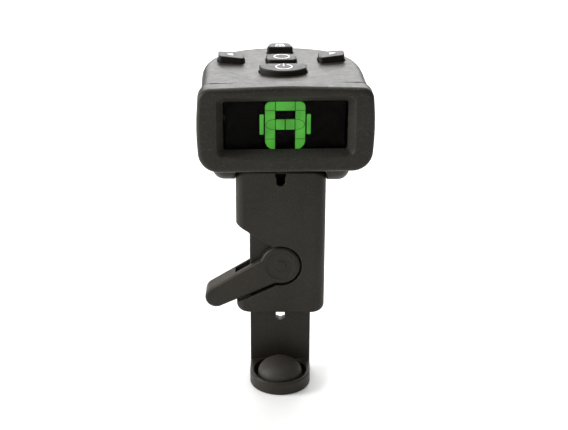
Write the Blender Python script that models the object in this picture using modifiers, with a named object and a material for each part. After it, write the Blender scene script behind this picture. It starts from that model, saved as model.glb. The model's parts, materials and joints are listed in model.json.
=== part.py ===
"""Clip-on instrument tuner: a display head on a dual swivel over a ratchet clamp.

Frame: +Z up, the display faces -Y.  The origin is on the table, at the middle of
the underside of the clamp's foot.  Sizes below are in millimetres and
are turned into metres where a mesh is made.
"""
from math import atan2, ceil, cos, hypot, pi, radians, sin, sqrt, tan

import bmesh
import bpy
from mathutils import Matrix, Vector

MM = 0.001

# ---------------------------------------------------------------- driving sizes
# clamp sleeve
SLEEVE_WIDTH = 16.85
SLEEVE_BOTTOM = 13.55
SLEEVE_TOP = 42.55
SLEEVE_FRONT = 2.6
SLEEVE_BACK = 8.8
SLEEVE_CORNER = 1.4
FRONT_WALL = 1.45
SLEEVE_SPLIT = 6.3
CAVITY_TOP = 41.6
FIT_GAP = 0.1
SEAM = 0.1
NOTCH_HALF = 0.825
NOTCH_BOTTOM = 39.8
NOTCH_WIDE_HALF = 1.03
NOTCH_WIDE_FROM = 41.7

# sliding jaw
BAR_WIDTH = 11.6
BAR_THICKNESS = 2.0
BAR_FRONT = SLEEVE_FRONT + FRONT_WALL + FIT_GAP
BAR_TOP = 33.7
SLOT_HALF = 0.84
SLOT_LOW = 11.9
SLOT_HIGH = 31.3
FOOT_TOP = 2.6
FOOT_RADIUS = 5.8
DOME_RADIUS = 4.25
DOME_Y = -0.3
DOME_TOP = 5.1
TRAY_RADIUS = 4.95
TRAY_FLOOR = 1.1

# release lever and ratchet, in the lever's own frame (origin on its pivot)
PIVOT_Z = 23.45
DISC_RADIUS = 3.85
RING_GAP = 0.25
UPPER_SLOPE = radians(31.9)
UPPER_OFFSET = 2.88
LOWER_SLOPE = radians(25.0)
LOWER_OFFSET = 3.01
TIP_X, TIP_Z, TIP_RADIUS = -12.36, -6.77, 2.1
PLATE_FRONT = 1.4
PLATE_REAR = 0.85
POCKET_END = -8.7
PIN_RADIUS = 0.7
PIN_HEAD = 1.2
OPENING_UPPER = (radians(32.9), 2.51)
OPENING_LOWER = (radians(26.4), 3.36)
OPENING_REACH = -9.5
SPRING_SEAT = 2.7
SPRING_FLOOR = 8.05
RACK_PITCH = 1.25
RACK_CLICKS = 6
RACK_ROOT = 1.75
RACK_TIP = 1.2
RACK_LOCK_Z = -3.13
RACK_UNDERCUT = 0.22
RACK_VALLEY = 0.28
RACK_LAND = 0.12
CHANNEL_LEFT = -3.95
CHANNEL_LOW = 11.3
CHANNEL_HIGH = 32.6
CHANNEL_DEPTH = 0.9

# dual swivel
SWIVEL_Y = 5.7
AXLE_Z = 44.2
AXLE_RADIUS = 0.9
KNUCKLE_RADIUS = 1.9
EAR_RADIUS = 3.9
EAR_INNER = 8.55
EAR_OUTER = 12.75
TURNTABLE_RADIUS = 8.4
TURNTABLE_LOW = 46.9
TURNTABLE_HIGH = 47.9
SPIGOT_RADIUS = 2.5
SPIGOT_TOP = 49.7
HEAD_YAW = radians(2.9)

# head, in the head's own frame (origin on the swivel axis)
HEAD_BOTTOM = 48.2
HEAD_TOP = 63.2
HEAD_FRONT = -18.1
BEZEL_DEPTH = 3.5
HEAD_HALF = 14.25
HEAD_STRAIGHT = -8.1
HEAD_ROUND = 17.4
HEAD_FULLNESS = 0.65
HEAD_WALL = 1.4
HEAD_FLOOR = 1.2
HEAD_EDGE = 1.2
PARTING_Z = 54.8
DISH_RADIUS = 11.6
DISH_DEPTH = 0.4
BEZEL_HALF = 15.35
WINDOW_HALF = 10.65
WINDOW_LOW = 51.85
WINDOW_HIGH = 60.45
RECESS_HALF = 11.85
RECESS_LOW = 51.15
RECESS_HIGH = 62.0
RECESS_SAG = 0.75
RECESS_DEPTH = 2.0
RECESS_FLARE = 1.018
LENS_HALF = 11.4
LENS_LOW = 51.1
LENS_HIGH = 61.2
LENS_SETBACK = 2.25
GLASS_HALF = 10.3
GLASS_LOW = 50.9
GLASS_SETBACK = 3.25

# battery and electronics
CELL_RADIUS = 10.0
CELL_HEIGHT = 3.2
CELL_LOW = 51.2
CELL_Y = -2.4
TRAY_HALF = 10.8
TRAY_LOW = 50.5
TRAY_HIGH = 54.7
BOARD_LOW = 55.6
BOARD_THICKNESS = 0.8
SWITCH_HEIGHT = 1.5
BUTTON_TRAVEL = 0.4
SCREW_BORE = (0.6, 0.6)
SCREW_SINK = (1.05, 1.05)
SCREW_HEAD_RADIUS = 0.9
SCREW_SHANK_RADIUS = 0.45
POST_RADII = (1.1, 1.1)
SHELL_SCREWS = ((-11.7, -12.9), (11.7, -12.9), (-12.1, -4.6), (12.1, -4.6))
SLEEVE_SCREWS = ((-6.95, 15.05), (6.95, 15.05), (-7.15, 39.4), (7.15, 39.4))

# ------------------------------------------------------------------- colours
COLOURS = {
    "black_abs": ((0.035, 0.033, 0.030), 0.45, 0.0),
    "satin_abs": ((0.045, 0.043, 0.040), 0.38, 0.0),
    "button_rubber": ((0.030, 0.029, 0.028), 0.55, 0.0),
    "pad_rubber": ((0.045, 0.048, 0.052), 0.70, 0.0),
    "smoked_lens": ((0.012, 0.012, 0.013), 0.05, 0.0),
    "display_glass": ((0.02, 0.03, 0.02), 0.08, 0.0),
    "light_guide": ((0.75, 0.80, 0.75), 0.35, 0.0),
    "circuit_board": ((0.02, 0.16, 0.06), 0.45, 0.0),
    "chip_epoxy": ((0.015, 0.015, 0.016), 0.50, 0.0),
    "silicone": ((0.55, 0.55, 0.58), 0.60, 0.0),
    "brass": ((0.75, 0.58, 0.28), 0.28, 1.0),
    "steel": ((0.60, 0.60, 0.61), 0.28, 1.0),
    "dark_steel": ((0.10, 0.10, 0.11), 0.35, 1.0),
    "wire_red": ((0.50, 0.02, 0.02), 0.45, 0.0),
    "wire_black": ((0.02, 0.02, 0.02), 0.45, 0.0),
}


def clear_scene():
    for item in list(bpy.data.objects):
        bpy.data.objects.remove(item)


def new_collection(name):
    collection = bpy.data.collections.new(name)
    bpy.context.scene.collection.children.link(collection)
    return collection


def material(name):
    """The named finish, made the first time it is asked for."""
    if name in bpy.data.materials:
        return bpy.data.materials[name]
    colour, roughness, metallic = COLOURS[name]
    finish = bpy.data.materials.new(name)
    finish.use_nodes = True
    shader = finish.node_tree.nodes["Principled BSDF"]
    shader.inputs["Base Color"].default_value = (*colour, 1.0)
    shader.inputs["Roughness"].default_value = roughness
    shader.inputs["Metallic"].default_value = metallic
    return finish


# ------------------------------------------------------------- outline helpers
def arc(cx, cy, radius, start, end, steps):
    """Points along an arc, both ends included, angles in radians."""
    points = []
    for i in range(steps + 1):
        angle = start + (end - start) * i / steps
        points.append((cx + radius * cos(angle), cy + radius * sin(angle)))
    return points


def rounded_polygon(corners, step=radians(18)):
    """A closed outline through (x, y, radius) corners, each rounded by its own arc."""
    points = []
    count = len(corners)
    for i, (x, y, radius) in enumerate(corners):
        if radius == 0:
            points.append((x, y))
            continue
        here = Vector((x, y))
        back = Vector(corners[i - 1][:2]) - here
        ahead = Vector(corners[(i + 1) % count][:2]) - here
        half = back.angle(ahead) / 2
        bisector = (back.normalized() + ahead.normalized()).normalized()
        centre = here + bisector * (radius / sin(half))
        reach = radius / tan(half)
        first = here + back.normalized() * reach - centre
        last = here + ahead.normalized() * reach - centre
        start = atan2(first.y, first.x)
        turn = (atan2(last.y, last.x) - start + pi) % (2 * pi) - pi
        steps = max(2, ceil(abs(turn) / step))
        points += arc(centre.x, centre.y, radius, start, start + turn, steps)
    return points


def rounded_box(left, right, low, high, radius):
    corners = ((left, low, radius), (right, low, radius), (right, high, radius), (left, high, radius))
    return rounded_polygon(corners)


def head_outline(inset=0.0, front=HEAD_FRONT - 3.0, steps=14):
    """Plan of the head: nearly straight sides that round off into a full rear end."""
    side = HEAD_HALF - inset
    depth = HEAD_ROUND - inset
    right = [(side + 0.35, front), (side, HEAD_STRAIGHT - 2.0)]
    for i in range(steps + 1):
        turn = pi / 2 * i / steps
        right.append((side * cos(turn), HEAD_STRAIGHT + depth * sin(turn) ** HEAD_FULLNESS))
    left = [(-x, y) for x, y in reversed(right[:-1])]
    return right + left


# ---------------------------------------------------------------- solid helpers
PLANES = {
    "XY": Matrix(((1, 0, 0), (0, 1, 0), (0, 0, 1))),
    "XZ": Matrix(((1, 0, 0), (0, 0, 1), (0, 1, 0))),
    "YZ": Matrix(((0, 0, 1), (1, 0, 0), (0, 1, 0))),
}
PARTS = new_collection("clip_on_tuner")
CUTTERS = new_collection("cutters")


def add_object(name, mesh, parent, finish):
    """Puts a mesh in the scene: a part when it has a finish, otherwise a cutter."""
    solid = bpy.data.objects.new(name, mesh)
    solid.parent = parent
    if finish:
        mesh.materials.append(material(finish))
        PARTS.objects.link(solid)
    else:
        CUTTERS.objects.link(solid)
        solid.hide_render = True
        solid.display_type = "WIRE"
    mesh.shade_smooth()
    mesh.set_sharp_from_angle(angle=radians(35))
    return solid


def mesh_from(bm, name):
    """A mesh from the bmesh, with its faces pointing out."""
    bmesh.ops.recalc_face_normals(bm, faces=bm.faces)
    if bm.calc_volume(signed=True) < 0:
        bmesh.ops.reverse_faces(bm, faces=bm.faces)
    mesh = bpy.data.meshes.new(name)
    bm.to_mesh(mesh)
    bm.free()
    return mesh


def plate(name, outline, low, high, plane, parent, finish=None):
    """A flat outline, filled and extruded from low to high across its plane."""
    curve = bpy.data.curves.new(name, "CURVE")
    curve.dimensions = "2D"
    curve.fill_mode = "BOTH"
    curve.extrude = (high - low) / 2 * MM
    spline = curve.splines.new("POLY")
    spline.points.add(len(outline) - 1)
    for point, (u, v) in zip(spline.points, outline):
        point.co = (u * MM, v * MM, 0.0, 1.0)
    spline.use_cyclic_u = True
    drawn = bpy.data.objects.new(name, curve)
    bpy.context.scene.collection.objects.link(drawn)
    graph = bpy.context.evaluated_depsgraph_get()
    filled = bpy.data.meshes.new_from_object(drawn.evaluated_get(graph))
    bpy.data.objects.remove(drawn)
    bm = bmesh.new()
    bm.from_mesh(filled)
    bmesh.ops.remove_doubles(bm, verts=bm.verts, dist=1e-7)
    bmesh.ops.dissolve_limit(bm, angle_limit=radians(0.3), verts=bm.verts, edges=bm.edges)
    bmesh.ops.translate(bm, vec=(0, 0, (low + high) / 2 * MM), verts=bm.verts)
    bm.transform(PLANES[plane].to_4x4())
    return add_object(name, mesh_from(bm, name), parent, finish)


def box(name, low, high, parent, finish=None):
    bm = bmesh.new()
    bmesh.ops.create_cube(bm, size=1.0)
    size = [(b - a) * MM for a, b in zip(low, high)]
    middle = [(a + b) / 2 * MM for a, b in zip(low, high)]
    bmesh.ops.scale(bm, vec=size, verts=bm.verts)
    bmesh.ops.translate(bm, vec=middle, verts=bm.verts)
    return add_object(name, mesh_from(bm, name), parent, finish)


AXIS_TURNS = {
    "X": Matrix.Rotation(radians(90), 4, "Y"),
    "Y": Matrix.Rotation(radians(-90), 4, "X"),
    "Z": Matrix.Identity(4),
}


def cylinder(name, radii, span, centre, axis, parent, finish=None, segments=32):
    """A round bar along an axis; radii are (at the low end, at the high end)."""
    bm = bmesh.new()
    low, high = span
    bmesh.ops.create_cone(bm, cap_ends=True, segments=segments, radius1=radii[0] * MM,
                          radius2=radii[1] * MM, depth=(high - low) * MM)
    bmesh.ops.translate(bm, vec=(0, 0, (low + high) / 2 * MM), verts=bm.verts)
    bm.transform(AXIS_TURNS[axis])
    bmesh.ops.translate(bm, vec=[c * MM for c in centre], verts=bm.verts)
    return add_object(name, mesh_from(bm, name), parent, finish)


def turned(name, profile, centre, axis, parent, finish=None, steps=32):
    """A turned piece: (radius, height) from the top of the axis down its outer side."""
    mesh = bpy.data.meshes.new(name)
    points = [(radius * MM, 0.0, height * MM) for radius, height in profile]
    mesh.from_pydata(points, [(i, i + 1) for i in range(len(points) - 1)], [])
    solid = add_object(name, mesh, parent, finish)
    solid.location = [c * MM for c in centre]
    solid.rotation_euler = AXIS_TURNS[axis].to_euler()
    screw = solid.modifiers.new("turn", "SCREW")
    screw.steps = steps
    screw.render_steps = steps
    screw.use_merge_vertices = True
    screw.merge_threshold = 0.00001
    return solid


def rounded_edges(solid, width, segments=2, angle=40):
    bevel = solid.modifiers.new("rounded edges", "BEVEL")
    bevel.width = width * MM
    bevel.segments = segments
    bevel.limit_method = "ANGLE"
    bevel.angle_limit = radians(angle)
    return solid


def combine(solid, *others, how="DIFFERENCE"):
    for other in others:
        boolean = solid.modifiers.new(other.name, "BOOLEAN")
        boolean.operation = how
        boolean.solver = "EXACT"
        boolean.object = other
    return solid


def cut(solid, *cutters):
    return combine(solid, *cutters)


def join(solid, *additions):
    return combine(solid, *additions, how="UNION")


def empty(name, location, parent=None, yaw=0.0):
    holder = bpy.data.objects.new(name, None)
    PARTS.objects.link(holder)
    holder.location = [c * MM for c in location]
    holder.rotation_euler = (0.0, 0.0, yaw)
    holder.parent = parent
    return holder


def shell_screw(name, head, shank, centre, parent):
    """A countersunk screw driven up from below: head and shank are (radius, length)."""
    head_radius, head_length = head
    shank_radius, shank_length = shank
    end = head_length + shank_length
    profile = ((0.0, end), (shank_radius, end - 0.4), (shank_radius, head_length),
               (head_radius, head_length * 0.35), (head_radius, 0.0), (0.0, 0.0))
    fastener = turned(name, profile, centre, "Z", parent, "steel", steps=12)
    x, y, z = centre
    reach = head_radius * 0.62
    for turn in range(2):
        wide, deep = (reach, 0.16) if turn else (0.16, reach)
        low, far = (x - wide, y - deep, z - 0.3), (x + wide, y + deep, z + 0.35)
        cut(fastener, box(f"{name}_drive_{turn}", low, far, parent))
    return fastener


# ------------------------------------------------------------------ ratchet clamp
def sleeve_solid(name, parent, finish):
    """The sleeve's outside: a bar with rounded long edges and rounded corners."""
    half = SLEEVE_WIDTH / 2
    plan = rounded_polygon(((-half, SLEEVE_FRONT, 1.7), (half, SLEEVE_FRONT, 1.7),
                            (half, SLEEVE_BACK, 1.0), (-half, SLEEVE_BACK, 1.0)))
    face = rounded_box(-half, half, SLEEVE_BOTTOM, SLEEVE_TOP, SLEEVE_CORNER)
    solid = plate(name, plan, SLEEVE_BOTTOM, SLEEVE_TOP, "XY", parent, finish)
    corners = plate(f"{name}_corners", face, SLEEVE_FRONT - 1, SLEEVE_BACK + 1, "XZ", parent)
    return combine(solid, corners, how="INTERSECT")


def lever_opening(name, low, high, parent, extra=0.0):
    """The round seat of the lever's disc with the wedge the arm swings through."""
    ring = DISC_RADIUS + RING_GAP
    far = OPENING_REACH
    upper_slope, upper_offset = OPENING_UPPER[0], OPENING_UPPER[1] + extra
    lower_slope, lower_offset = OPENING_LOWER[0], OPENING_LOWER[1] + extra
    upper_z = upper_offset / cos(upper_slope) - far * tan(upper_slope)
    lower_z = -lower_offset / cos(lower_slope) + far * tan(lower_slope)
    upper_turn = pi / 2 - upper_slope + crossing_angle(upper_offset, ring)
    lower_turn = -pi / 2 + lower_slope - crossing_angle(lower_offset, ring)
    outline = [(x, z + PIVOT_Z) for x, z in arc(0, 0, ring, lower_turn, upper_turn, 30)]
    outline += [(far, upper_z + PIVOT_Z), (far, lower_z + PIVOT_Z)]
    return plate(name, outline, low, high, "XZ", parent)


def crossing_angle(offset, radius):
    """Angle between a chord's normal and the point where the chord meets the circle."""
    return atan2(sqrt(radius ** 2 - offset ** 2), offset)


def build_sleeve(clamp):
    front = sleeve_solid("sleeve_front", clamp, "black_abs")
    back = sleeve_solid("sleeve_back", clamp, "black_abs")
    half = BAR_WIDTH / 2 + 0.15
    cut(front, box("behind_seam", (-20, SLEEVE_SPLIT, 0), (20, 20, 60), clamp))
    cut(front, box("bar_channel", (-half, SLEEVE_FRONT + FRONT_WALL, 0), (half, 20, CAVITY_TOP), clamp))
    cut(front, lever_opening("disc_seat", 0, SLEEVE_FRONT + FRONT_WALL + 0.2, clamp))

    side_gap = lever_opening("lever_gap", 0, 20, clamp, extra=0.02)
    combine(side_gap, box("left_of_bar", (-12, -1, 0), (-half, 21, 60), clamp), how="INTERSECT")
    cut(front, side_gap)
    cut(back, side_gap)

    slim, wide, step = NOTCH_HALF, NOTCH_WIDE_HALF, NOTCH_WIDE_FROM
    notch = rounded_polygon(((-slim, NOTCH_BOTTOM, 0.8), (slim, NOTCH_BOTTOM, 0.8), (slim, step - 0.2, 0),
                             (wide, step, 0), (wide, 50, 0), (-wide, 50, 0), (-wide, step, 0),
                             (-slim, step - 0.2, 0)))
    cut(front, plate("relief_notch", notch, 0, SLEEVE_FRONT + FRONT_WALL + 0.2, "XZ", clamp))

    knuckle = cylinder("knuckle", (KNUCKLE_RADIUS, KNUCKLE_RADIUS), (-8.35, 8.35),
                       (0, SWIVEL_Y, AXLE_Z), "X", clamp)
    web = box("knuckle_web", (-8.0, SWIVEL_Y - 1.6, CAVITY_TOP + 0.3), (8.0, SLEEVE_SPLIT, AXLE_Z), clamp)
    join(front, web, knuckle)
    cut(front, cylinder("knuckle_bore", (AXLE_RADIUS + 0.1,) * 2, (-10, 10),
                        (0, SWIVEL_Y, AXLE_Z), "X", clamp, segments=24))

    cut(back, box("before_seam", (-20, -5, 0), (20, SLEEVE_SPLIT + SEAM, 60), clamp))
    cut(back, box("knuckle_room", (-20, 0, SLEEVE_TOP - 0.45), (20, 20, 60), clamp))
    cut(back, lever_opening("rear_plate_seat", 0, SLEEVE_SPLIT + SEAM + 0.95, clamp))
    pivot = (0, 0, PIVOT_Z)
    cut(back, cylinder("spring_seat", (SPRING_SEAT, SPRING_SEAT), (5, SPRING_FLOOR), pivot, "Y", clamp))
    cut(back, cylinder("pin_bore", (PIN_RADIUS + 0.1,) * 2, (5, 12), pivot, "Y", clamp, segments=24))
    cut(back, cylinder("pin_head_seat", (PIN_HEAD + 0.15,) * 2, (8.3, 12), pivot, "Y", clamp))

    for index, (x, z) in enumerate(SLEEVE_SCREWS, start=1):
        place = (x, 0, z)
        cut(front, cylinder(f"screw_bore_{index}", SCREW_BORE, (3.9, 9), place, "Y", clamp, segments=16))
        cut(back, cylinder(f"cover_bore_{index}", SCREW_BORE, (5, 12), place, "Y", clamp, segments=16))
        cut(back, cylinder(f"cover_sink_{index}", SCREW_SINK, (7.95, 12), place, "Y", clamp, segments=24))
        cover_screw(f"sleeve_screw_{index}", x, z, clamp)


def cover_screw(name, x, z, parent):
    """Screw driven in from the back: its head faces +Y."""
    head, shank = SCREW_HEAD_RADIUS, SCREW_SHANK_RADIUS
    profile = ((0.0, 8.75), (head - 0.2, 8.72), (head, 8.5), (head, 8.05), (shank, 8.05), (shank, 4.4),
               (shank - 0.25, 4.1), (0.0, 4.1))
    fastener = turned(name, profile, (x, 0, z), "Y", parent, "dark_steel", steps=12)
    for turn in range(2):
        wide, high = (0.6, 0.15) if turn else (0.15, 0.6)
        low, far = (x - wide, 8.4, z - high), (x + wide, 9.5, z + high)
        cut(fastener, box(f"{name}_drive_{turn}", low, far, parent))


def build_pivot(clamp):
    """The lever's pin, with its head let into the back of the sleeve, and its spring."""
    end = SLEEVE_FRONT + 0.7
    profile = ((0.0, 8.78), (PIN_HEAD - 0.25, 8.75), (PIN_HEAD, 8.55), (PIN_HEAD, 8.4), (PIN_RADIUS, 8.4),
               (PIN_RADIUS, end + 0.15), (PIN_RADIUS - 0.15, end), (0.0, end))
    turned("pivot_pin", profile, (0, 0, PIVOT_Z), "Y", clamp, "steel", steps=24)

    turns, inner, outer = 2.25, 1.15, 2.25
    steps = 28
    curve = bpy.data.curves.new("lever_spring", "CURVE")
    curve.dimensions = "3D"
    curve.bevel_depth = 0.15 * MM
    curve.bevel_resolution = 1
    curve.use_fill_caps = True
    spline = curve.splines.new("POLY")
    spline.points.add(steps)
    for i, point in enumerate(spline.points):
        part = i / steps
        radius = inner + (outer - inner) * part
        turn = 2 * pi * turns * part
        point.co = (radius * cos(turn) * MM, 0, radius * sin(turn) * MM, 1)
    coil = bpy.data.objects.new("lever_spring", curve)
    PARTS.objects.link(coil)
    coil.parent = clamp
    coil.location = (0, 7.72 * MM, PIVOT_Z * MM)
    curve.materials.append(material("steel"))
    weld = coil.modifiers.new("caps", "WELD")
    weld.merge_threshold = 0.00001


def rack_outline():
    """Channel in the bar's back: straight on the left, undercut ratchet teeth on the right."""
    outline = [(CHANNEL_LEFT, CHANNEL_LOW), (RACK_TIP, CHANNEL_LOW)]
    for click in range(-RACK_CLICKS, RACK_CLICKS + 1):
        lock = PIVOT_Z + RACK_LOCK_Z + click * RACK_PITCH
        outline += [(RACK_TIP, lock - RACK_PITCH + RACK_LAND), (RACK_ROOT, lock - RACK_VALLEY),
                    (RACK_ROOT, lock + RACK_UNDERCUT), (RACK_TIP, lock)]
    return outline + [(RACK_TIP, CHANNEL_HIGH), (CHANNEL_LEFT, CHANNEL_HIGH)]


def build_jaw(jaw):
    """The flat bar and its D-shaped foot in one moulding, with the rubber dome on it."""
    half = BAR_WIDTH / 2
    back = BAR_FRONT + BAR_THICKNESS
    base = 0.4
    face = rounded_polygon(((-half, base, 0), (half, base, 0), (half, BAR_TOP, 0.8), (-half, BAR_TOP, 0.8)))
    bar = plate("slide_bar", face, BAR_FRONT, back, "XZ", jaw, "black_abs")
    plan = arc(0, 0.2, FOOT_RADIUS, pi, 2 * pi, 22)
    plan += [(FOOT_RADIUS, back), (-FOOT_RADIUS, back)]
    foot = plate("foot", plan, 0, FOOT_TOP, "XY", jaw)
    rounded_edges(foot, 0.3, segments=2)
    join(bar, foot)
    tray = cylinder("tray", (TRAY_RADIUS, TRAY_RADIUS + 0.12), (TRAY_FLOOR, FOOT_TOP + 0.4), (0, 0.1, 0), "Z",
                    jaw, segments=36)
    combine(tray, box("ahead_of_bar", (-8, -8, 0), (8, BAR_FRONT - 0.15, 5), jaw), how="INTERSECT")
    cut(bar, tray)
    cut(bar, cylinder("stem_socket", (1.4, 1.4), (0.5, 2), (0, DOME_Y, 0), "Z", jaw, segments=20))
    slot = arc(0, SLOT_LOW, SLOT_HALF, pi, 2 * pi, 8) + arc(0, SLOT_HIGH, SLOT_HALF, 0, pi, 8)
    cut(bar, plate("slot", slot, 0, 20, "XZ", jaw))
    cut(bar, plate("rack_channel", rack_outline(), back - CHANNEL_DEPTH, 20, "XZ", jaw))

    rise = DOME_TOP - 2.2
    profile = [(DOME_RADIUS * sin(pi / 2 * i / 7), 2.2 + rise * cos(pi / 2 * i / 7)) for i in range(8)]
    under = TRAY_FLOOR + 0.1
    profile += [(DOME_RADIUS, under + 0.25), (DOME_RADIUS - 0.25, under), (1.2, under), (1.2, 0.65)]
    profile.append((0.0, 0.65))
    turned("dome_pad", profile, (0, DOME_Y, 0), "Z", jaw, "pad_rubber", steps=28)


def lever_outline():
    """Disc, tapering arm and round tip, around the pivot at (0, 0)."""
    lower = -pi / 2 + LOWER_SLOPE - crossing_angle(LOWER_OFFSET, DISC_RADIUS)
    upper = pi / 2 + UPPER_SLOPE + crossing_angle(UPPER_OFFSET, DISC_RADIUS)
    outline = arc(0, 0, DISC_RADIUS, lower, upper, 30)
    outline += arc(TIP_X, TIP_Z, TIP_RADIUS, pi / 2 + UPPER_SLOPE, pi * 1.5 + LOWER_SLOPE, 12)
    return outline


def build_lever(lever):
    """Fork that straddles the bar: a front plate, a rear plate with the pawl, a solid grip."""
    pocket_front = SLEEVE_FRONT + PLATE_FRONT
    pocket_back = SLEEVE_SPLIT - 0.02
    rear = pocket_back + PLATE_REAR
    arm = plate("release_lever", lever_outline(), SLEEVE_FRONT, rear, "XZ", lever, "black_abs")
    rounded_edges(arm, 0.45, segments=2, angle=60)
    cut(arm, box("fork_pocket", (POCKET_END, pocket_front, -20), (20, pocket_back, 20), lever))
    pawl = [(-0.9, -3.3), (-0.5, -4.0), (0.75, -4.0), (1.65, -3.2), (1.65, -3.1), (0.9, -3.4), (0.9, -0.7)]
    pawl += arc(0, 0, 1.1, radians(-35), radians(215), 14)
    channel_floor = BAR_FRONT + BAR_THICKNESS - CHANNEL_DEPTH
    join(arm, plate("pawl", pawl, channel_floor + 0.15, pocket_back + 0.06, "XZ", lever))
    cut(arm, cylinder("lever_bore", (PIN_RADIUS + 0.1,) * 2, (SLEEVE_FRONT + 0.6, 12), (0, 0, 0), "Y", lever,
                      segments=24))


# ------------------------------------------------------------------- dual swivel
def build_swivel_base(tilt):
    """Turntable under the head with two round ears that straddle the sleeve's knuckle."""
    low = TURNTABLE_LOW - AXLE_Z
    high = TURNTABLE_HIGH - AXLE_Z
    base = cylinder("swivel_base", (TURNTABLE_RADIUS,) * 2, (low, high), (0, 0, 0), "Z", tilt, "black_abs",
                    segments=40)
    arm = EAR_OUTER - 0.9
    join(base, box("cross_arm", (-arm, -3.3, low - 0.05), (arm, 3.3, high - 0.05), tilt))
    for side in (-1, 1):
        corner = 2.3
        rim = [(EAR_RADIUS - corner + corner * cos(a), EAR_OUTER - corner + corner * sin(a))
               for a in [pi / 2 * (1 - i / 4) for i in range(5)]]
        profile = [(0.0, EAR_OUTER), *rim, (EAR_RADIUS, EAR_INNER), (0.0, EAR_INNER)]
        ear = turned(f"ear_{side}", profile, (0, 0, 0), "X", tilt, steps=24)
        if side < 0:
            ear.rotation_euler = Matrix.Rotation(radians(-90), 4, "Y").to_euler()
        near, far = sorted((side * EAR_INNER, side * (EAR_OUTER - 1.6)))
        post = box(f"ear_post_{side}", (near, -EAR_RADIUS + 0.4, 0), (far, EAR_RADIUS - 0.4, low + 0.3), tilt)
        join(base, ear, post)
    join(base, cylinder("spigot", (SPIGOT_RADIUS,) * 2, (low, SPIGOT_TOP - AXLE_Z), (0, 0, 0), "Z", tilt))
    cut(base, cylinder("spigot_bore", (0.75, 0.75), (0, 10), (0, 0, 0), "Z", tilt, segments=24))
    cut(base, cylinder("ear_bore", (AXLE_RADIUS + 0.1,) * 2, (-20, 20), (0, 0, 0), "X", tilt, segments=24))
    axle = cylinder("hinge_axle", (AXLE_RADIUS,) * 2, (-EAR_OUTER + 0.25, EAR_OUTER - 0.25), (0, 0, 0), "X",
                    tilt, "steel", segments=24)
    rounded_edges(axle, 0.2, segments=2)


# -------------------------------------------------------------------------- head
def head_block(name, head, finish=None):
    """The head's outside as one block, longer than needed at the front."""
    block = plate(name, head_outline(), HEAD_BOTTOM, HEAD_TOP, "XY", head, finish)
    return rounded_edges(block, HEAD_EDGE, segments=3, angle=60)


def build_shells(head):
    top = head_block("top_shell", head, "satin_abs")
    bottom = head_block("bottom_shell", head, "satin_abs")
    shell_front = HEAD_FRONT + BEZEL_DEPTH + SEAM
    front_half = box("ahead_of_shells", (-20, -30, 40), (20, shell_front, 70), head)
    floor, ceiling = HEAD_BOTTOM + HEAD_FLOOR, HEAD_TOP - HEAD_WALL
    cavity = plate("head_cavity", head_outline(HEAD_WALL), floor, ceiling, "XY", head)
    below = box("below_parting", (-20, -30, 40), (20, 20, PARTING_Z + SEAM / 2), head)
    above = box("above_parting", (-20, -30, PARTING_Z - SEAM / 2), (20, 20, 70), head)
    cut(top, front_half, below, cavity)
    cut(bottom, front_half, above, cavity)

    for index, (x, y) in enumerate(SHELL_SCREWS, start=1):
        place = (x, y, 0)
        upper_span = (PARTING_Z + 0.15, HEAD_TOP - 1.0)
        lower_span = (HEAD_BOTTOM + 0.9, PARTING_Z - 0.15)
        pad_span = (HEAD_BOTTOM + 0.4, 50.1)
        join(top, cylinder(f"post_top_{index}", POST_RADII, upper_span, place, "Z", head, segments=20))
        cut(top, cylinder(f"post_hole_{index}", SCREW_BORE, (50, 59.5), place, "Z", head, segments=16))
        pad = cylinder(f"post_pad_{index}", (1.7, 1.7), pad_span, place, "Z", head, segments=24)
        lower = cylinder(f"post_bottom_{index}", POST_RADII, lower_span, place, "Z", head, segments=20)
        join(bottom, pad, lower)
        cut(bottom, cylinder(f"post_bore_{index}", SCREW_BORE, (40, 60), place, "Z", head, segments=16))
        cut(bottom, cylinder(f"head_sink_{index}", SCREW_SINK, (40, 49.25), place, "Z", head, segments=16))
        head_size, shank_size = (SCREW_HEAD_RADIUS, 0.75), (SCREW_SHANK_RADIUS, 9.5)
        shell_screw(f"shell_screw_{index}", head_size, shank_size, (x, y, HEAD_BOTTOM + 0.2), head)

    drawer_way = plate("drawer_way", head_outline(-2.0), TRAY_LOW - 0.15, PARTING_Z + 1, "XY", head)
    combine(drawer_way, box("drawer_span", (-TRAY_HALF - 0.15, -7, 40), (TRAY_HALF + 0.15, 20, 60), head),
            how="INTERSECT")
    cut(bottom, drawer_way)
    cut(bottom, cylinder("swivel_hole", (SPIGOT_RADIUS + 0.15,) * 2, (40, 52), (0, 0, 0), "Z", head))

    rings = 3
    profile = [(0.0, HEAD_TOP + 1.0), (DISH_RADIUS, HEAD_TOP + 1.0)]
    for i in range(rings + 1):
        part = 1 - i / rings
        profile.append((DISH_RADIUS * part, HEAD_TOP - DISH_DEPTH * (1 - part ** 2)))
    cut(top, turned("dish", profile, (0, 0, 0), "Z", head, steps=32))


def bezel_outline():
    bottom, top = HEAD_BOTTOM, HEAD_TOP
    corner = BEZEL_HALF - 0.6
    return rounded_polygon(((-corner, bottom, 3.6), (corner, bottom, 3.6), (BEZEL_HALF, 56.0, 50),
                            (corner, top - 0.1, 2.2), (0, top + 0.35, 60), (-corner, top - 0.1, 2.2),
                            (-BEZEL_HALF, 56.0, 50)), step=radians(10))


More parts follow.
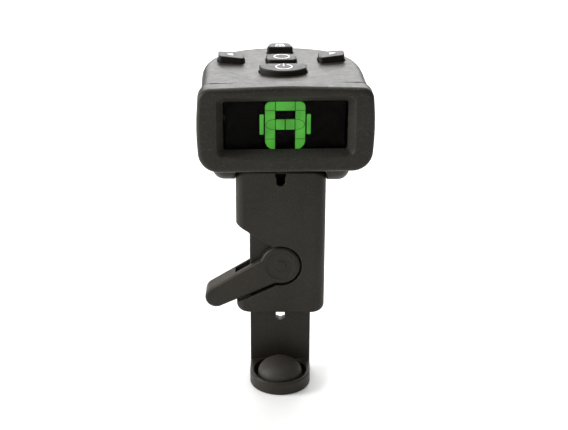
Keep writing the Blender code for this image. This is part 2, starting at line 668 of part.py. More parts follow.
def tapered_recess(name, head):
    """Cutter for the sloping frame of the display: wide at the front, window-sized behind."""
    outer = ring_points(RECESS_HALF, RECESS_LOW, RECESS_HIGH, 1.1, RECESS_SAG)
    inner = ring_points(WINDOW_HALF, WINDOW_LOW, WINDOW_HIGH, 0.5, 0.0)
    middle = (WINDOW_LOW + WINDOW_HIGH) / 2
    wide = [(x * RECESS_FLARE, middle + (z - middle) * RECESS_FLARE) for x, z in outer]
    levels = ((HEAD_FRONT - 0.4, wide), (HEAD_FRONT + RECESS_DEPTH, inner), (HEAD_FRONT + 8.0, inner))
    bm = bmesh.new()
    loops = [[bm.verts.new((x * MM, y * MM, z * MM)) for x, z in points] for y, points in levels]
    bm.faces.new(loops[0])
    bm.faces.new(loops[-1])
    for near, far in zip(loops, loops[1:]):
        for i in range(len(near)):
            bm.faces.new((near[i - 1], near[i], far[i], far[i - 1]))
    return add_object(name, mesh_from(bm, name), head, None)


def ring_points(half, low, high, radius, sag):
    """Rounded rectangle with the same point count each time; its lower edge sags by sag."""
    points = arc(half - radius, low + radius, radius, -pi / 2, 0, 4)
    points += arc(half - radius, high - radius, radius, 0, pi / 2, 4)
    points += arc(-half + radius, high - radius, radius, pi / 2, pi, 4)
    points += arc(-half + radius, low + radius, radius, pi, pi * 1.5, 4)
    for i in range(1, 8):
        across = i / 8
        x = (-half + radius) * (1 - across) + (half - radius) * across
        points.append((x, low - sag * (1 - (2 * across - 1) ** 2)))
    return points


def build_front(head):
    bezel_back = HEAD_FRONT + BEZEL_DEPTH
    bezel = plate("front_bezel", bezel_outline(), HEAD_FRONT, bezel_back, "XZ", head, "satin_abs")
    rounded_edges(bezel, 0.8, segments=3, angle=50)
    cut(bezel, tapered_recess("display_recess", head))
    lens_front = HEAD_FRONT + LENS_SETBACK
    pocket = rounded_box(-LENS_HALF - 0.2, LENS_HALF + 0.2, LENS_LOW - 0.2, LENS_HIGH + 0.2, 0.5)
    cut(bezel, plate("lens_pocket", pocket, lens_front - 0.1, 0, "XZ", head))
    lens = rounded_box(-LENS_HALF, LENS_HALF, LENS_LOW, LENS_HIGH, 0.5)
    plate("display_window", lens, lens_front, lens_front + 0.8, "XZ", head, "smoked_lens")
    glass = HEAD_FRONT + GLASS_SETBACK
    cell = rounded_box(-GLASS_HALF, GLASS_HALF, GLASS_LOW, LENS_HIGH, 0.2)
    plate("lcd_glass", cell, glass, glass + 1.2, "XZ", head, "display_glass")
    guide = rounded_box(-GLASS_HALF, GLASS_HALF, GLASS_LOW, 59.4, 0.2)
    plate("backlight_plate", guide, glass + 1.35, glass + 2.15, "XZ", head, "light_guide")
    box("zebra_connector", (-9.8, glass + 1.3, 59.7), (9.8, glass + 2.35, 61.1), head, "silicone")
    box("display_board", (-10.2, glass + 2.4, 55.0), (10.2, glass + 3.2, 61.3), head, "circuit_board")
    header = box("board_header", (-4.0, glass + 3.3, 56.5), (4.0, glass + 5.1, 58.6), head, "chip_epoxy")
    rounded_edges(header, 0.15, segments=1)


def build_electronics(head):
    top = BOARD_LOW + BOARD_THICKNESS
    board = plate("main_board", head_outline(HEAD_WALL + 0.5, front=-11.3), BOARD_LOW, top, "XY", head,
                  "circuit_board")
    for index, (x, y) in enumerate(SHELL_SCREWS, start=1):
        cut(board, cylinder(f"board_notch_{index}", (1.5, 1.5), (50, 60), (x, y, 0), "Z", head, segments=20))
    chip = box("processor_chip", (4.6, -9.2, top + 0.05), (9.2, -4.6, top + 0.95), head, "chip_epoxy")
    rounded_edges(chip, 0.15, segments=1)
    crystal = cylinder("timing_crystal", (0.9, 0.9), (-9.6, -5.0), (-7.2, 0, top + 0.98), "Y", head, "steel",
                       segments=20)
    rounded_edges(crystal, 0.2, segments=2)
    floor = HEAD_BOTTOM + HEAD_FLOOR + 0.1
    step, crown = floor + 0.2, floor + 0.35
    disc = ((0, crown), (3.1, crown), (3.1, step), (4.5, step), (4.5, floor), (0, floor))
    turned("piezo_sensor", disc, (0, -9.0, 0), "Z", head, "brass", steps=32)
    blade = box("contact_positive", (-8.55, -10.6, 50.8), (-8.15, -8.6, 55.4), head, "steel")
    rounded_edges(blade, 0.08, segments=1)
    strip = [(-3.0, 55.3), (-1.0, 55.3), (0.6, 54.55), (1.6, 54.55), (2.6, 54.9), (2.6, 55.05), (1.6, 54.7),
             (0.7, 54.7), (-0.9, 55.5), (-3.0, 55.5)]
    plate("contact_negative", strip, CELL_Y - 1.2, CELL_Y + 1.2, "XZ", head, "steel")
    for name, side, finish in (("piezo_lead_red", 1, "wire_red"), ("piezo_lead_black", -1, "wire_black")):
        path = ((side * 1.6, -12.6, 50.1), (side * 5.2, -12.0, 50.15), (side * 8.9, -10.6, 50.3),
                (side * 9.4, -10.4, 52.5), (side * 9.2, -10.2, 55.4))
        lead(name, path, head, finish)


def lead(name, path, parent, finish):
    """An insulated wire along a path."""
    curve = bpy.data.curves.new(name, "CURVE")
    curve.dimensions = "3D"
    curve.bevel_depth = 0.2 * MM
    curve.bevel_resolution = 1
    curve.use_fill_caps = True
    spline = curve.splines.new("POLY")
    spline.points.add(len(path) - 1)
    for point, (x, y, z) in zip(spline.points, path):
        point.co = (x * MM, y * MM, z * MM, 1)
    wire = bpy.data.objects.new(name, curve)
    PARTS.objects.link(wire)
    wire.parent = parent
    curve.materials.append(material(finish))
    weld = wire.modifiers.new("caps", "WELD")
    weld.merge_threshold = 0.00001


def build_drawer(drawer):
    """Rear drawer: a floor under the cell, arms at its sides and the curved rear face."""
    low, high = CELL_LOW, CELL_LOW + CELL_HEIGHT
    rim = CELL_RADIUS - 0.25
    cell = ((0, high), (8.9, high), (9.1, high - 0.2), (rim, high - 0.2), (CELL_RADIUS, high - 0.5),
            (CELL_RADIUS, low + 0.25), (rim, low), (0, low))
    turned("coin_cell", cell, (0, CELL_Y, 0), "Z", drawer, "steel", steps=36)
    tray = plate("battery_drawer", head_outline(), TRAY_LOW, TRAY_HIGH, "XY", drawer, "satin_abs")
    span = box("drawer_block", (-TRAY_HALF, -6.0, 40), (TRAY_HALF, 20, 60), drawer)
    combine(tray, span, how="INTERSECT")
    seat = (CELL_RADIUS + 0.15, CELL_RADIUS + 0.15)
    cut(tray, cylinder("cell_seat", seat, (TRAY_LOW + 0.6, 60), (0, CELL_Y, 0), "Z", drawer, segments=36))
    groove_place = (0, HEAD_STRAIGHT + HEAD_ROUND + 0.45, (TRAY_LOW + TRAY_HIGH) / 2)
    cut(tray, cylinder("thumb_groove", (1.0, 1.0), (-3.5, 3.5), groove_place, "X", drawer, segments=20))


def button_outlines():
    """Plan outline, top height (left end, right end), switch place and flange half sizes."""
    power = arc(0, -5.45, 5.0, radians(214), radians(326), 10)
    power += [(4.15, -6.1), (3.7, -5.6), (-3.7, -5.6), (-4.15, -6.1)]
    centre = rounded_box(-2.65, 2.65, -1.85, 2.15, 0.9)
    rear = rounded_polygon(((-2.5, 4.7, 0.5), (2.5, 4.7, 0.5), (1.8, 7.6, 0.6), (-1.8, 7.6, 0.6)))
    left = rounded_polygon(((-11.3, -1.6, 0.7), (-6.7, -2.0, 0.7), (-6.7, 2.0, 0.7), (-11.3, 1.6, 0.7)))
    right = [(-x, y) for x, y in reversed(left)]
    return {
        "power": (power, (64.05, 64.05), (0, -7.8), (4.8, 1.5)),
        "centre": (centre, (63.6, 63.6), (0, 0.1), (3.3, 1.2)),
        "rear": (rear, (64.15, 64.15), (0, 5.6), (3.2, 0.9)),
        "left": (left, (64.5, 63.85), (-9.0, 0), (0.9, 2.4)),
        "right": (right, (63.85, 64.5), (9.0, 0), (0.9, 2.4)),
    }


def grown(outline, amount):
    """The outline moved outwards by amount, away from its middle."""
    cx = sum(x for x, _ in outline) / len(outline)
    cy = sum(y for _, y in outline) / len(outline)
    moved = []
    for x, y in outline:
        reach = hypot(x - cx, y - cy)
        moved.append((x + (x - cx) / reach * amount, y + (y - cy) / reach * amount))
    return moved


def build_buttons(head):
    """Caps through the top shell, each with a flange inside and a post over its switch."""
    top_shell = bpy.data.objects["top_shell"]
    switch_base = BOARD_LOW + BOARD_THICKNESS + 0.05
    switch_top = switch_base + SWITCH_HEIGHT
    for name, (outline, (left_z, right_z), (x, y), (wide, deep)) in button_outlines().items():
        holder = empty(f"{name}_button_axis", (x, y, 0), head)
        local = [(u - x, v - y) for u, v in outline]
        cap = plate(f"button_{name}", local, 60.8, max(left_z, right_z), "XY", holder, "button_rubber")
        if left_z != right_z:
            half = 2.3
            slope = atan2(right_z - left_z, 2 * half)
            above = box(f"{name}_slope", (-8, -8, 0), (8, 8, 4), holder)
            above.location = (0, 0, (left_z + right_z) / 2 * MM)
            above.rotation_euler = (0, -slope, 0)
            cut(cap, above)
        rounded_edges(cap, 0.25, segments=2, angle=50)
        flange = box(f"{name}_flange", (-wide, -deep, 60.7), (wide, deep, 61.35), holder)
        post_span = (switch_top + BUTTON_TRAVEL + 0.1, 61.0)
        post = cylinder(f"{name}_post", POST_RADII, post_span, (0, 0, 0), "Z", holder, segments=20)
        join(cap, flange, post)
        hole = plate(f"{name}_hole", grown(local, 0.15), 60, 66, "XY", holder)
        cut(top_shell, hole)
        low, far = (x - 1.7, y - 1.5, switch_base), (x + 1.7, y + 1.5, switch_top - 0.3)
        switch = box(f"switch_{name}", low, far, head, "chip_epoxy")
        stem_span = (switch_top - 0.6, switch_top)
        stem = cylinder(f"{name}_switch_stem", (0.8, 0.8), stem_span, (x, y, 0), "Z", head, segments=16)
        join(switch, stem)


def build_retainer(turntable):
    """Ring and screw on the swivel base's spigot that hold the head's floor down."""
    ring = cylinder("swivel_retainer", (3.9, 3.9), (SPIGOT_TOP + 0.05, SPIGOT_TOP + 0.35), (0, 0, 0), "Z",
                    turntable, "steel")
    cut(ring, cylinder("retainer_bore", (0.8, 0.8), (49, 51), (0, 0, 0), "Z", turntable, segments=24))
    top = SPIGOT_TOP + 0.7
    profile = ((0.0, top), (1.7, top), (1.9, top - 0.1), (1.9, top - 0.3), (0.6, top - 0.3), (0.6, 46.9),
               (0.4, 46.7), (0.0, 46.7))
    turned("swivel_screw", profile, (0, 0, 0), "Z", turntable, "steel", steps=20)


def build():
    clear_scene()
    clamp = empty("clamp_frame", (0, 0, 0))
    jaw = empty("jaw_frame", (0, 0, 0), clamp)
    lever = empty("lever_axis", (0, 0, PIVOT_Z), clamp)
    tilt = empty("tilt_axis", (0, SWIVEL_Y, AXLE_Z), clamp)
    turntable = empty("turntable_axis", (0, 0, -AXLE_Z), tilt)
    head = empty("head_axis", (0, 0, 0), turntable, HEAD_YAW)
    drawer = empty("drawer_frame", (0, 0, 0), head)
    build_sleeve(clamp)
    build_pivot(clamp)
    build_jaw(jaw)
    build_lever(lever)
    build_swivel_base(tilt)
    build_shells(head)
    build_front(head)
    build_electronics(head)
    build_drawer(drawer)
    build_buttons(head)
    build_retainer(turntable)


build()
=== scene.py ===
"""Clip-on instrument tuner: fine shapes, finishes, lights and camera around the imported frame.

Shapes are drawn in millimetres in one of three places: the row frame (WORLD), the head's own
frame (HEAD: origin on the swivel axis, turned with the head) and the lever's (LEVER: origin on
its pivot).  Sizes come from the frame's own nodes wherever a node gives them.
"""

import json
from math import atan2, ceil, cos, pi, radians, sin, sqrt, tan
from types import SimpleNamespace

import bmesh
import bpy
from mathutils import Matrix, Vector

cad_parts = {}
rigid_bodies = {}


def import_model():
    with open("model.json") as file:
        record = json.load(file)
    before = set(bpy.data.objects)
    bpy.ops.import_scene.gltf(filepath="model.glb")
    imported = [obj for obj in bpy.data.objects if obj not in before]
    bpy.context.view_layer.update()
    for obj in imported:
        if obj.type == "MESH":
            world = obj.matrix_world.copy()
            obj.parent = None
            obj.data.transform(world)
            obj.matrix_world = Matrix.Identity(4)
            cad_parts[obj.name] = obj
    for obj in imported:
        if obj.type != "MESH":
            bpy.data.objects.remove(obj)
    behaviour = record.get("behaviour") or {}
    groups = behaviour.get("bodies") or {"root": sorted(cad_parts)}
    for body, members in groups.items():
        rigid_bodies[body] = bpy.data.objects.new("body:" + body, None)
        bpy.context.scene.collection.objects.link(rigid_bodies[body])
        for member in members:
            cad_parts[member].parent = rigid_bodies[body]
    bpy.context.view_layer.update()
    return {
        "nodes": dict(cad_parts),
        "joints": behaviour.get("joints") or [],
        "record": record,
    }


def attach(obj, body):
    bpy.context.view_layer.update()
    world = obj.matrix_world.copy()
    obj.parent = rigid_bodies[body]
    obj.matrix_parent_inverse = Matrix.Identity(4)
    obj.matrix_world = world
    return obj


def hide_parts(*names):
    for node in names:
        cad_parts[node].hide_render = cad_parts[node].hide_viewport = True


MM = 0.001
for item in list(bpy.data.objects):
    bpy.data.objects.remove(item)
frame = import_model()

# ---- places and sizes
JOINTS = {joint["name"]: joint for joint in frame["joints"]}
SLIDE_AXIS = JOINTS["battery_drawer_slide"]["axis"]
SWIVEL = JOINTS["head_swivel"]["pos_m"]
PIVOT = JOINTS["lever_lift"]["pos_m"]
TILT = JOINTS["head_tilt"]["pos_m"]
WORLD = Matrix.Identity(4)
HEAD = (Matrix.Translation((SWIVEL[0], SWIVEL[1], 0))
        @ Matrix.Rotation(atan2(-SLIDE_AXIS[0], SLIDE_AXIS[1]), 4, "Z"))
LEVER = Matrix.Translation((PIVOT[0], 0, PIVOT[2]))


def span(node, place=WORLD):
    """A node's box in millimetres, seen from a place."""
    back = place.inverted()
    points = [back @ vertex.co for vertex in frame["nodes"][node].data.vertices]
    left, front, low = (min(point[i] for point in points) / MM for i in range(3))
    right, rear, high = (max(point[i] for point in points) / MM for i in range(3))
    return SimpleNamespace(left=left, front=front, low=low, right=right, back=rear, high=high,
                           half=(right - left) / 2, x=(left + right) / 2, y=(front + rear) / 2,
                           z=(low + high) / 2)


SLEEVE = span("sleeve_front")
COVER = span("sleeve_back")
BAR = span("slide_bar")
DOME = span("dome_pad")
ARM = span("release_lever", LEVER)
SWIVEL_BASE = span("swivel_base")
TOP = span("top_shell", HEAD)
BOTTOM = span("bottom_shell", HEAD)
BEZEL = span("front_bezel", HEAD)
LENS = span("display_window", HEAD)
GLASS = span("lcd_glass", HEAD)
DRAWER = span("battery_drawer", HEAD)
CELL = span("coin_cell", HEAD)
PIN = span("pivot_pin")
AXLE = span("hinge_axle")
BUTTONS = {name: span(f"button_{name}", HEAD) for name in ("power", "centre", "rear", "left", "right")}

# bores, sinks and posts, as radii
PIN_BORE = 0.8
AXLE_BORE = 1.0
SCREW_BORE = 0.6
HEAD_SINK = 1.05
POST_RADIUS = 1.1

# clamp details
PIVOT_Z = PIVOT[2] / MM
TILT_Z = TILT[2] / MM
TILT_Y = TILT[1] / MM
SLEEVE_CORNER = 1.4
FRONT_WALL = 1.45
CAVITY_TOP = SLEEVE.low + 28.05
SPLIT = COVER.front - 0.1
BAR_FRONT = SLEEVE.front + FRONT_WALL + 0.1
BAR_BACK = BAR_FRONT + 2.0
SLOT_HALF = 0.84
SLOT_ENDS = (11.9, 31.3)
FOOT_TOP = 2.6
TURNTABLE = (46.9, 47.9)
TRAY_FLOOR = 1.1
DISC_RADIUS = 3.85
DISC_GAP = 0.25
ARM_UPPER = (radians(31.9), 2.88)
ARM_LOWER = (radians(25.0), 3.01)
TIP = (-12.36, -6.77, 2.1)
SLEEVE_TOP = 42.55
OPENING_UPPER = (radians(32.9), 2.51)
OPENING_LOWER = (radians(26.4), 3.36)
SLEEVE_SCREWS = [span(f"sleeve_screw_{i}") for i in range(1, 5)]
SHELL_SCREWS = [span(f"shell_screw_{i}", HEAD) for i in range(1, 5)]

# head details
HEAD_HALF = 14.25
BEZEL_HALF = 15.35
HEAD_STRAIGHT = -8.1
HEAD_ROUND = TOP.back - HEAD_STRAIGHT
HEAD_FULLNESS = 0.65
HEAD_TOP = 63.2
HEAD_WALL = 1.4
FLOOR_WALL = 1.2
HEAD_EDGE = 1.8
PARTING = (TOP.low + BOTTOM.high) / 2
DISH_RADIUS = 11.6
DISH_DEPTH = 0.4
VIEW_PITCH = radians(23)
WINDOW = (10.65, 51.85, 60.45)
RECESS_OUTER = (11.85, 51.15, 62.0)
CAP_HEIGHT = 1.57
SPLIT_HALF = 0.045

# edges: points closer than WELD are one, and angles are in degrees
WELD = 0.004
CUT_ANGLE = 32
SHARP_ANGLE = 38
CARRIED_EDGE = 0.05
CARRIED_ANGLE = 40


# ---- outlines
def arc(cx, cy, radius, start, end, steps):
    """Points along an arc, both ends included."""
    angles = [start + (end - start) * i / steps for i in range(steps + 1)]
    return [(cx + radius * cos(angle), cy + radius * sin(angle)) for angle in angles]


def rounded_polygon(corners, step=radians(7)):
    """A closed outline through (x, y, radius) corners, each rounded by its own arc."""
    points = []
    for i, (x, y, radius) in enumerate(corners):
        if radius == 0:
            points.append((x, y))
            continue
        here = Vector((x, y))
        back = (Vector(corners[i - 1][:2]) - here).normalized()
        ahead = (Vector(corners[(i + 1) % len(corners)][:2]) - here).normalized()
        half = back.angle(ahead) / 2
        centre = here + (back + ahead).normalized() * (radius / sin(half))
        first = here + back * (radius / tan(half)) - centre
        last = here + ahead * (radius / tan(half)) - centre
        start = atan2(first.y, first.x)
        turn = (atan2(last.y, last.x) - start + pi) % (2 * pi) - pi
        steps = max(3, ceil(abs(turn) / step))
        points += arc(centre.x, centre.y, radius, start, start + turn, steps)
    return points


def rounded_box(left, right, low, high, radius):
    corners = ((left, low), (right, low), (right, high), (left, high))
    return rounded_polygon([(*corner, radius) for corner in corners])


def inset(outline, amount):
    """A counter-clockwise outline moved inwards by amount."""
    moved = []
    for i, point in enumerate(outline):
        here = Vector(point)
        along = (here - Vector(outline[i - 1])).normalized()
        ahead = (Vector(outline[(i + 1) % len(outline)]) - here).normalized()
        inward = Vector((-(along.y + ahead.y), along.x + ahead.x)).normalized()
        stretch = 1 / max(0.5, cos(along.angle(ahead) / 2))
        moved.append(tuple(here + inward * amount * stretch))
    return moved


def head_outline(gap=0.0, front=-21.0, steps=40):
    """Plan of the head: nearly straight sides that round off into a full rear end."""
    side = HEAD_HALF - gap
    right = [(side + 0.35, front), (side, HEAD_STRAIGHT - 2.0)]
    for i in range(steps + 1):
        turn = pi / 2 * i / steps
        right.append((side * cos(turn), HEAD_STRAIGHT + (HEAD_ROUND - gap) * sin(turn) ** HEAD_FULLNESS))
    return right + [(-x, y) for x, y in reversed(right[:-1])]


def quarter(radius, steps=5):
    """(inset, depth) pairs of a rounded rim, from its outer face to its full width."""
    return [(radius * (1 - sin(pi / 2 * i / steps)), radius * (1 - cos(pi / 2 * i / steps)))
            for i in range(steps + 1)]


# ---- solids
PLANES = {"XY": lambda u, v, w: (u, v, w), "XZ": lambda u, v, w: (u, w, v)}


def add_object(name, bm, place):
    """A new object from the bmesh (in millimetres), faces out, at its place."""
    bmesh.ops.recalc_face_normals(bm, faces=bm.faces)
    if bm.calc_volume(signed=True) < 0:
        bmesh.ops.reverse_faces(bm, faces=bm.faces)
    bmesh.ops.scale(bm, vec=(MM, MM, MM), verts=bm.verts)
    mesh = bpy.data.meshes.new(name)
    bm.to_mesh(mesh)
    bm.free()
    solid = bpy.data.objects.new(name, mesh)
    bpy.context.scene.collection.objects.link(solid)
    solid.matrix_world = place
    return solid


def loft(name, rings, place=WORLD):
    """A closed skin over rings of equal point count, capped at both ends."""
    bm = bmesh.new()
    loops = [[bm.verts.new(point) for point in ring] for ring in rings]
    bm.faces.new(loops[0])
    bm.faces.new(loops[-1])
    for near, far in zip(loops, loops[1:]):
        for i in range(len(near)):
            bm.faces.new((near[i - 1], near[i], far[i], far[i - 1]))
    return add_object(name, bm, place)


def plate(name, outline, low, high, plane, place=WORLD, rims=(0, 0)):
    """An outline extruded from low to high, with a rounded rim of its own radius at each end."""
    levels = [(low + depth, edge) for edge, depth in quarter(rims[0])] if rims[0] else [(low, 0)]
    ends = [(high - depth, edge) for edge, depth in quarter(rims[1])] if rims[1] else [(high, 0)]
    levels += reversed(ends)
    point = PLANES[plane]
    rings = [[point(u, v, w) for u, v in (inset(outline, edge) if edge else outline)]
             for w, edge in levels]
    return loft(name, rings, place)


def box(name, low, high, place=WORLD):
    (left, front, bottom), (right, back, top) = low, high
    outline = [(left, front), (right, front), (right, back), (left, back)]
    return plate(name, outline, bottom, top, "XY", place)


AXIS_TURNS = {"X": Matrix.Rotation(radians(90), 4, "Y"),
              "Y": Matrix.Rotation(radians(-90), 4, "X"),
              "Z": WORLD}


def turned(name, profile, centre, axis, place=WORLD, steps=72):
    """A turned piece from (radius, height) points that start and end on the axis."""
    bm = bmesh.new()
    move = Matrix.Translation(centre) @ AXIS_TURNS[axis]
    poles = [bm.verts.new(move @ Vector((0, 0, profile[i][1]))) for i in (0, -1)]
    turns = [(cos(2 * pi * i / steps), sin(2 * pi * i / steps)) for i in range(steps)]
    rings = [[bm.verts.new(move @ Vector((radius * across, radius * along, height)))
              for across, along in turns] for radius, height in profile[1:-1]]
    for i in range(steps):
        bm.faces.new((poles[0], rings[0][i - 1], rings[0][i]))
        bm.faces.new((poles[1], rings[-1][i], rings[-1][i - 1]))
        for near, far in zip(rings, rings[1:]):
            bm.faces.new((near[i - 1], near[i], far[i], far[i - 1]))
    return add_object(name, bm, place)


def drum(name, radius, low, high, centre, axis, place=WORLD, steps=64, far_radius=None):
    """A plain round bar, mostly a cutter for a bore."""
    profile = ((0, low), (radius, low), (far_radius or radius, high), (0, high))
    return turned(name, profile, centre, axis, place, steps)


def baked(solid):
    """Turns the object's modifiers into its mesh."""
    graph = bpy.context.evaluated_depsgraph_get()
    mesh = bpy.data.meshes.new_from_object(solid.evaluated_get(graph), depsgraph=graph)
    solid.modifiers.clear()
    solid.data = mesh
    return solid


def combine(solid, *others, how="DIFFERENCE"):
    """Cuts, joins or intersects the solid with the others, which are used up."""
    for other in others:
        step = solid.modifiers.new(other.name, "BOOLEAN")
        step.operation = how
        step.solver = "EXACT"
        step.object = other
        step.material_mode = "TRANSFER"
    baked(solid)
    for other in others:
        bpy.data.objects.remove(other)
    return solid


def join(solid, *others):
    return combine(solid, *others, how="UNION")


def overlap(solid, other):
    return combine(solid, other, how="INTERSECT")


def bevel(solid, width, segments, angle):
    """Rounds the edges that turn by more than angle degrees."""
    edge = solid.modifiers.new("edge", "BEVEL")
    edge.width = width * MM
    edge.segments = segments
    edge.limit_method = "ANGLE"
    edge.angle_limit = radians(angle)
    return edge


def soften(solid, width):
    """Rounds the sharp edges that cutting left, and smooths the shading."""
    bm = bmesh.new()
    bm.from_mesh(solid.data)
    bmesh.ops.remove_doubles(bm, verts=bm.verts, dist=WELD * MM)
    bmesh.ops.dissolve_degenerate(bm, edges=bm.edges, dist=WELD * MM)
    bm.to_mesh(solid.data)
    bm.free()
    if width:
        edge = bevel(solid, width, 3, CUT_ANGLE)
        edge.use_clamp_overlap = False
        edge.miter_outer = "MITER_ARC"
        baked(solid)
    solid.data.shade_smooth()
    solid.data.set_sharp_from_angle(angle=radians(SHARP_ANGLE))
    weigh = solid.modifiers.new("weigh", "WEIGHTED_NORMAL")
    weigh.keep_sharp = True
    return baked(solid)


def dress(solid, body, slot, *nodes, finish=None):
    """Gives a finished piece its body and the slot's finish, and hides the nodes it stands for."""
    finish = finish or FINISHES[slot]
    if len(solid.data.materials):
        solid.data.materials[0] = finish
    else:
        solid.data.materials.append(finish)
    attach(solid, body)
    if nodes:
        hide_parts(*nodes)


# ---- finishes
WHITE = (1, 1, 1, 1)
EDGE_WIDTH = 0.25
# how far edges are lightened, partly as rubbed wear and partly as a painted highlight
EDGE_WEAR_AND_HIGHLIGHT = 0.5
SCRATCHES = 0.35


def put(socket, value):
    """Wires another node's socket in, or sets a plain value."""
    if isinstance(value, bpy.types.NodeSocket):
        socket.id_data.links.new(value, socket)
    else:
        socket.default_value = value


def fill(target, values):
    """Fills a node's inputs, and sets what isn't an input as a plain setting."""
    for key, value in values.items():
        label = key.replace("_", " ")
        if label in target.inputs:
            put(target.inputs[label], value)
        else:
            setattr(target, key, value)
    return target


def shader(name):
    """A new node material, with a function that adds a node and one that fills its surface node."""
    finish = bpy.data.materials.new(name)
    finish.use_nodes = True
    nodes = finish.node_tree.nodes

    def node(kind, **values):
        return fill(nodes.new(f"ShaderNode{kind}"), values)

    def surface(**values):
        return fill(nodes["Principled BSDF"], values)

    return finish, node, surface


def place_socket(node, stretch=(1, 1, 1)):
    """Coordinates on the piece itself, so that a finish moves with it."""
    coordinates = node("TexCoord").outputs["Object"]
    return node("Mapping", Vector=coordinates, Scale=stretch).outputs["Vector"]


def noise(node, size, detail=3.0, rough=0.55, stretch=(1, 1, 1)):
    """Noise whose features are about size millimetres across."""
    return node("TexNoise", Vector=place_socket(node, stretch), Scale=1 / (size * MM), Detail=detail,
                Roughness=rough).outputs["Fac"]


def cells(node, size):
    """Distance to the nearest of scattered points, about size millimetres apart."""
    return node("TexVoronoi", Vector=place_socket(node), Scale=1 / (size * MM)).outputs["Distance"]


def remap(node, value, low, high, start=0.0, end=1.0):
    """The value's range from low to high, moved to the range from start to end."""
    out = node("MapRange", Value=value, From_Min=low, From_Max=high, To_Min=start, To_Max=end)
    return out.outputs["Result"]


def mix(node, factor, first, second):
    out = node("Mix", data_type="RGBA")
    colours = [socket for socket in out.inputs if socket.type == "RGBA"]
    put(out.inputs["Factor"], factor)
    put(colours[0], first)
    put(colours[1], second)
    return [socket for socket in out.outputs if socket.type == "RGBA"][0]


def rgba(colour, scale=1.0):
    return (*(channel * scale for channel in colour), 1.0)


def bumps(node, layers):
    """Stacks (height socket, strength, depth in millimetres) layers into one normal."""
    normal = None
    for height, strength, depth in layers:
        step = node("Bump", Height=height, Strength=strength, Distance=depth * MM)
        if normal:
            put(step.inputs["Normal"], normal)
        normal = step.outputs["Normal"]
    return normal


def edge_mask(node, radius):
    """1 on edges tighter than radius millimetres, 0 on flat faces."""
    dot = node("VectorMath", operation="DOT_PRODUCT")
    put(dot.inputs[0], node("Bevel", samples=4, Radius=radius * MM).outputs["Normal"])
    put(dot.inputs[1], node("NewGeometry").outputs["Normal"])
    return remap(node, dot.outputs["Value"], 0.995, 0.90)


def moulded(name, colour, roughness, specular, grain=0.22, grain_depth=0.012, tone=0.14, flecks=2.1):
    """Moulded plastic or rubber: fine grain, slow tone changes, edges lightened as wear and as a painted
    highlight, faint rub marks.
    """
    finish, node, surface = shader(name)
    slow = noise(node, 9.0, 2.0)
    fine = noise(node, grain, 2.0, 0.6)
    rub = noise(node, 1.2, 4.0, 0.7, (1, 1, 0.12))
    base = mix(node, remap(node, slow, 0.35, 0.65), rgba(colour, 1 - tone), rgba(colour, 1 + tone))
    base = mix(node, remap(node, fine, 0.55, 0.75, 0, 0.8), base, rgba(colour, flecks))
    # edges lightened: partly rubbed wear, partly a painted highlight along every edge
    worn_and_highlit = remap(node, edge_mask(node, EDGE_WIDTH), 0, 1, 0, EDGE_WEAR_AND_HIGHLIGHT)
    base = mix(node, worn_and_highlit, base, rgba([channel * 0.8 + 0.02 for channel in colour], 1.5))
    rough = remap(node, rub, 0.3, 0.75, roughness * 0.85, min(1.0, roughness * 1.15))
    surface(Base_Color=base, Roughness=rough, Specular_IOR_Level=specular,
            Normal=bumps(node, ((fine, 0.6, grain_depth), (rub, 0.2, 0.008))))
    return finish


def speckled(name, colour):
    """The recess faces: the same plastic with coarse light specks of moulded texture."""
    finish, node, surface = shader(name)
    pits = cells(node, 0.2)
    grain = noise(node, 0.16, 2.0, 0.7)
    surface(Base_Color=mix(node, remap(node, grain, 0.52, 0.72), rgba(colour), rgba(colour, 4.6)),
            Roughness=remap(node, grain, 0.3, 0.7, 0.42, 0.65), Specular_IOR_Level=0.3,
            Normal=bumps(node, ((pits, 0.7, 0.03), (grain, 0.5, 0.02))))
    return finish


def metal(name, colour, roughness, stretch=(1, 1, 14)):
    """Drawn or turned metal: fine lines along one direction and small stains."""
    finish, node, surface = shader(name)
    lines = noise(node, 0.5, 5.0, 0.75, stretch)
    stain = noise(node, 1.6, 3.0)
    surface(Base_Color=mix(node, remap(node, stain, 0.4, 0.75), rgba(colour), rgba(colour, 0.72)),
            Metallic=1.0, Roughness=remap(node, lines, 0.3, 0.7, roughness * 0.75, roughness * 1.35),
            Normal=bumps(node, ((lines, SCRATCHES, 0.01),)))
    return finish


def circuit_board(name):
    """Green mask over copper tracks and pads, with a woven glass ripple."""
    finish, node, surface = shader(name)
    tracks = node("TexBrick", Vector=place_socket(node), Scale=1 / (2.6 * MM)).outputs["Fac"]
    weave = noise(node, 0.25, 2.0)
    base = mix(node, tracks, (0.012, 0.10, 0.035, 1), (0.03, 0.22, 0.08, 1))
    base = mix(node, remap(node, cells(node, 2.1), 0.10, 0.08), base, (0.62, 0.50, 0.22, 1))
    surface(Base_Color=base, Roughness=remap(node, weave, 0.3, 0.7, 0.25, 0.42),
            Normal=bumps(node, ((tracks, 0.4, 0.03), (weave, 0.3, 0.01))))
    return finish


def striped(name, dark, light, pitch):
    """Elastomer connector: thin conducting stripes across a soft strip."""
    finish, node, surface = shader(name)
    wave = node("TexWave", Vector=place_socket(node), Scale=1 / (pitch * MM * 6.28)).outputs["Fac"]
    surface(Base_Color=mix(node, remap(node, wave, 0.4, 0.6), rgba(dark), rgba(light)),
            Roughness=remap(node, noise(node, 0.6), 0.3, 0.7, 0.5, 0.7),
            Normal=bumps(node, ((wave, 0.3, 0.02),)))
    return finish


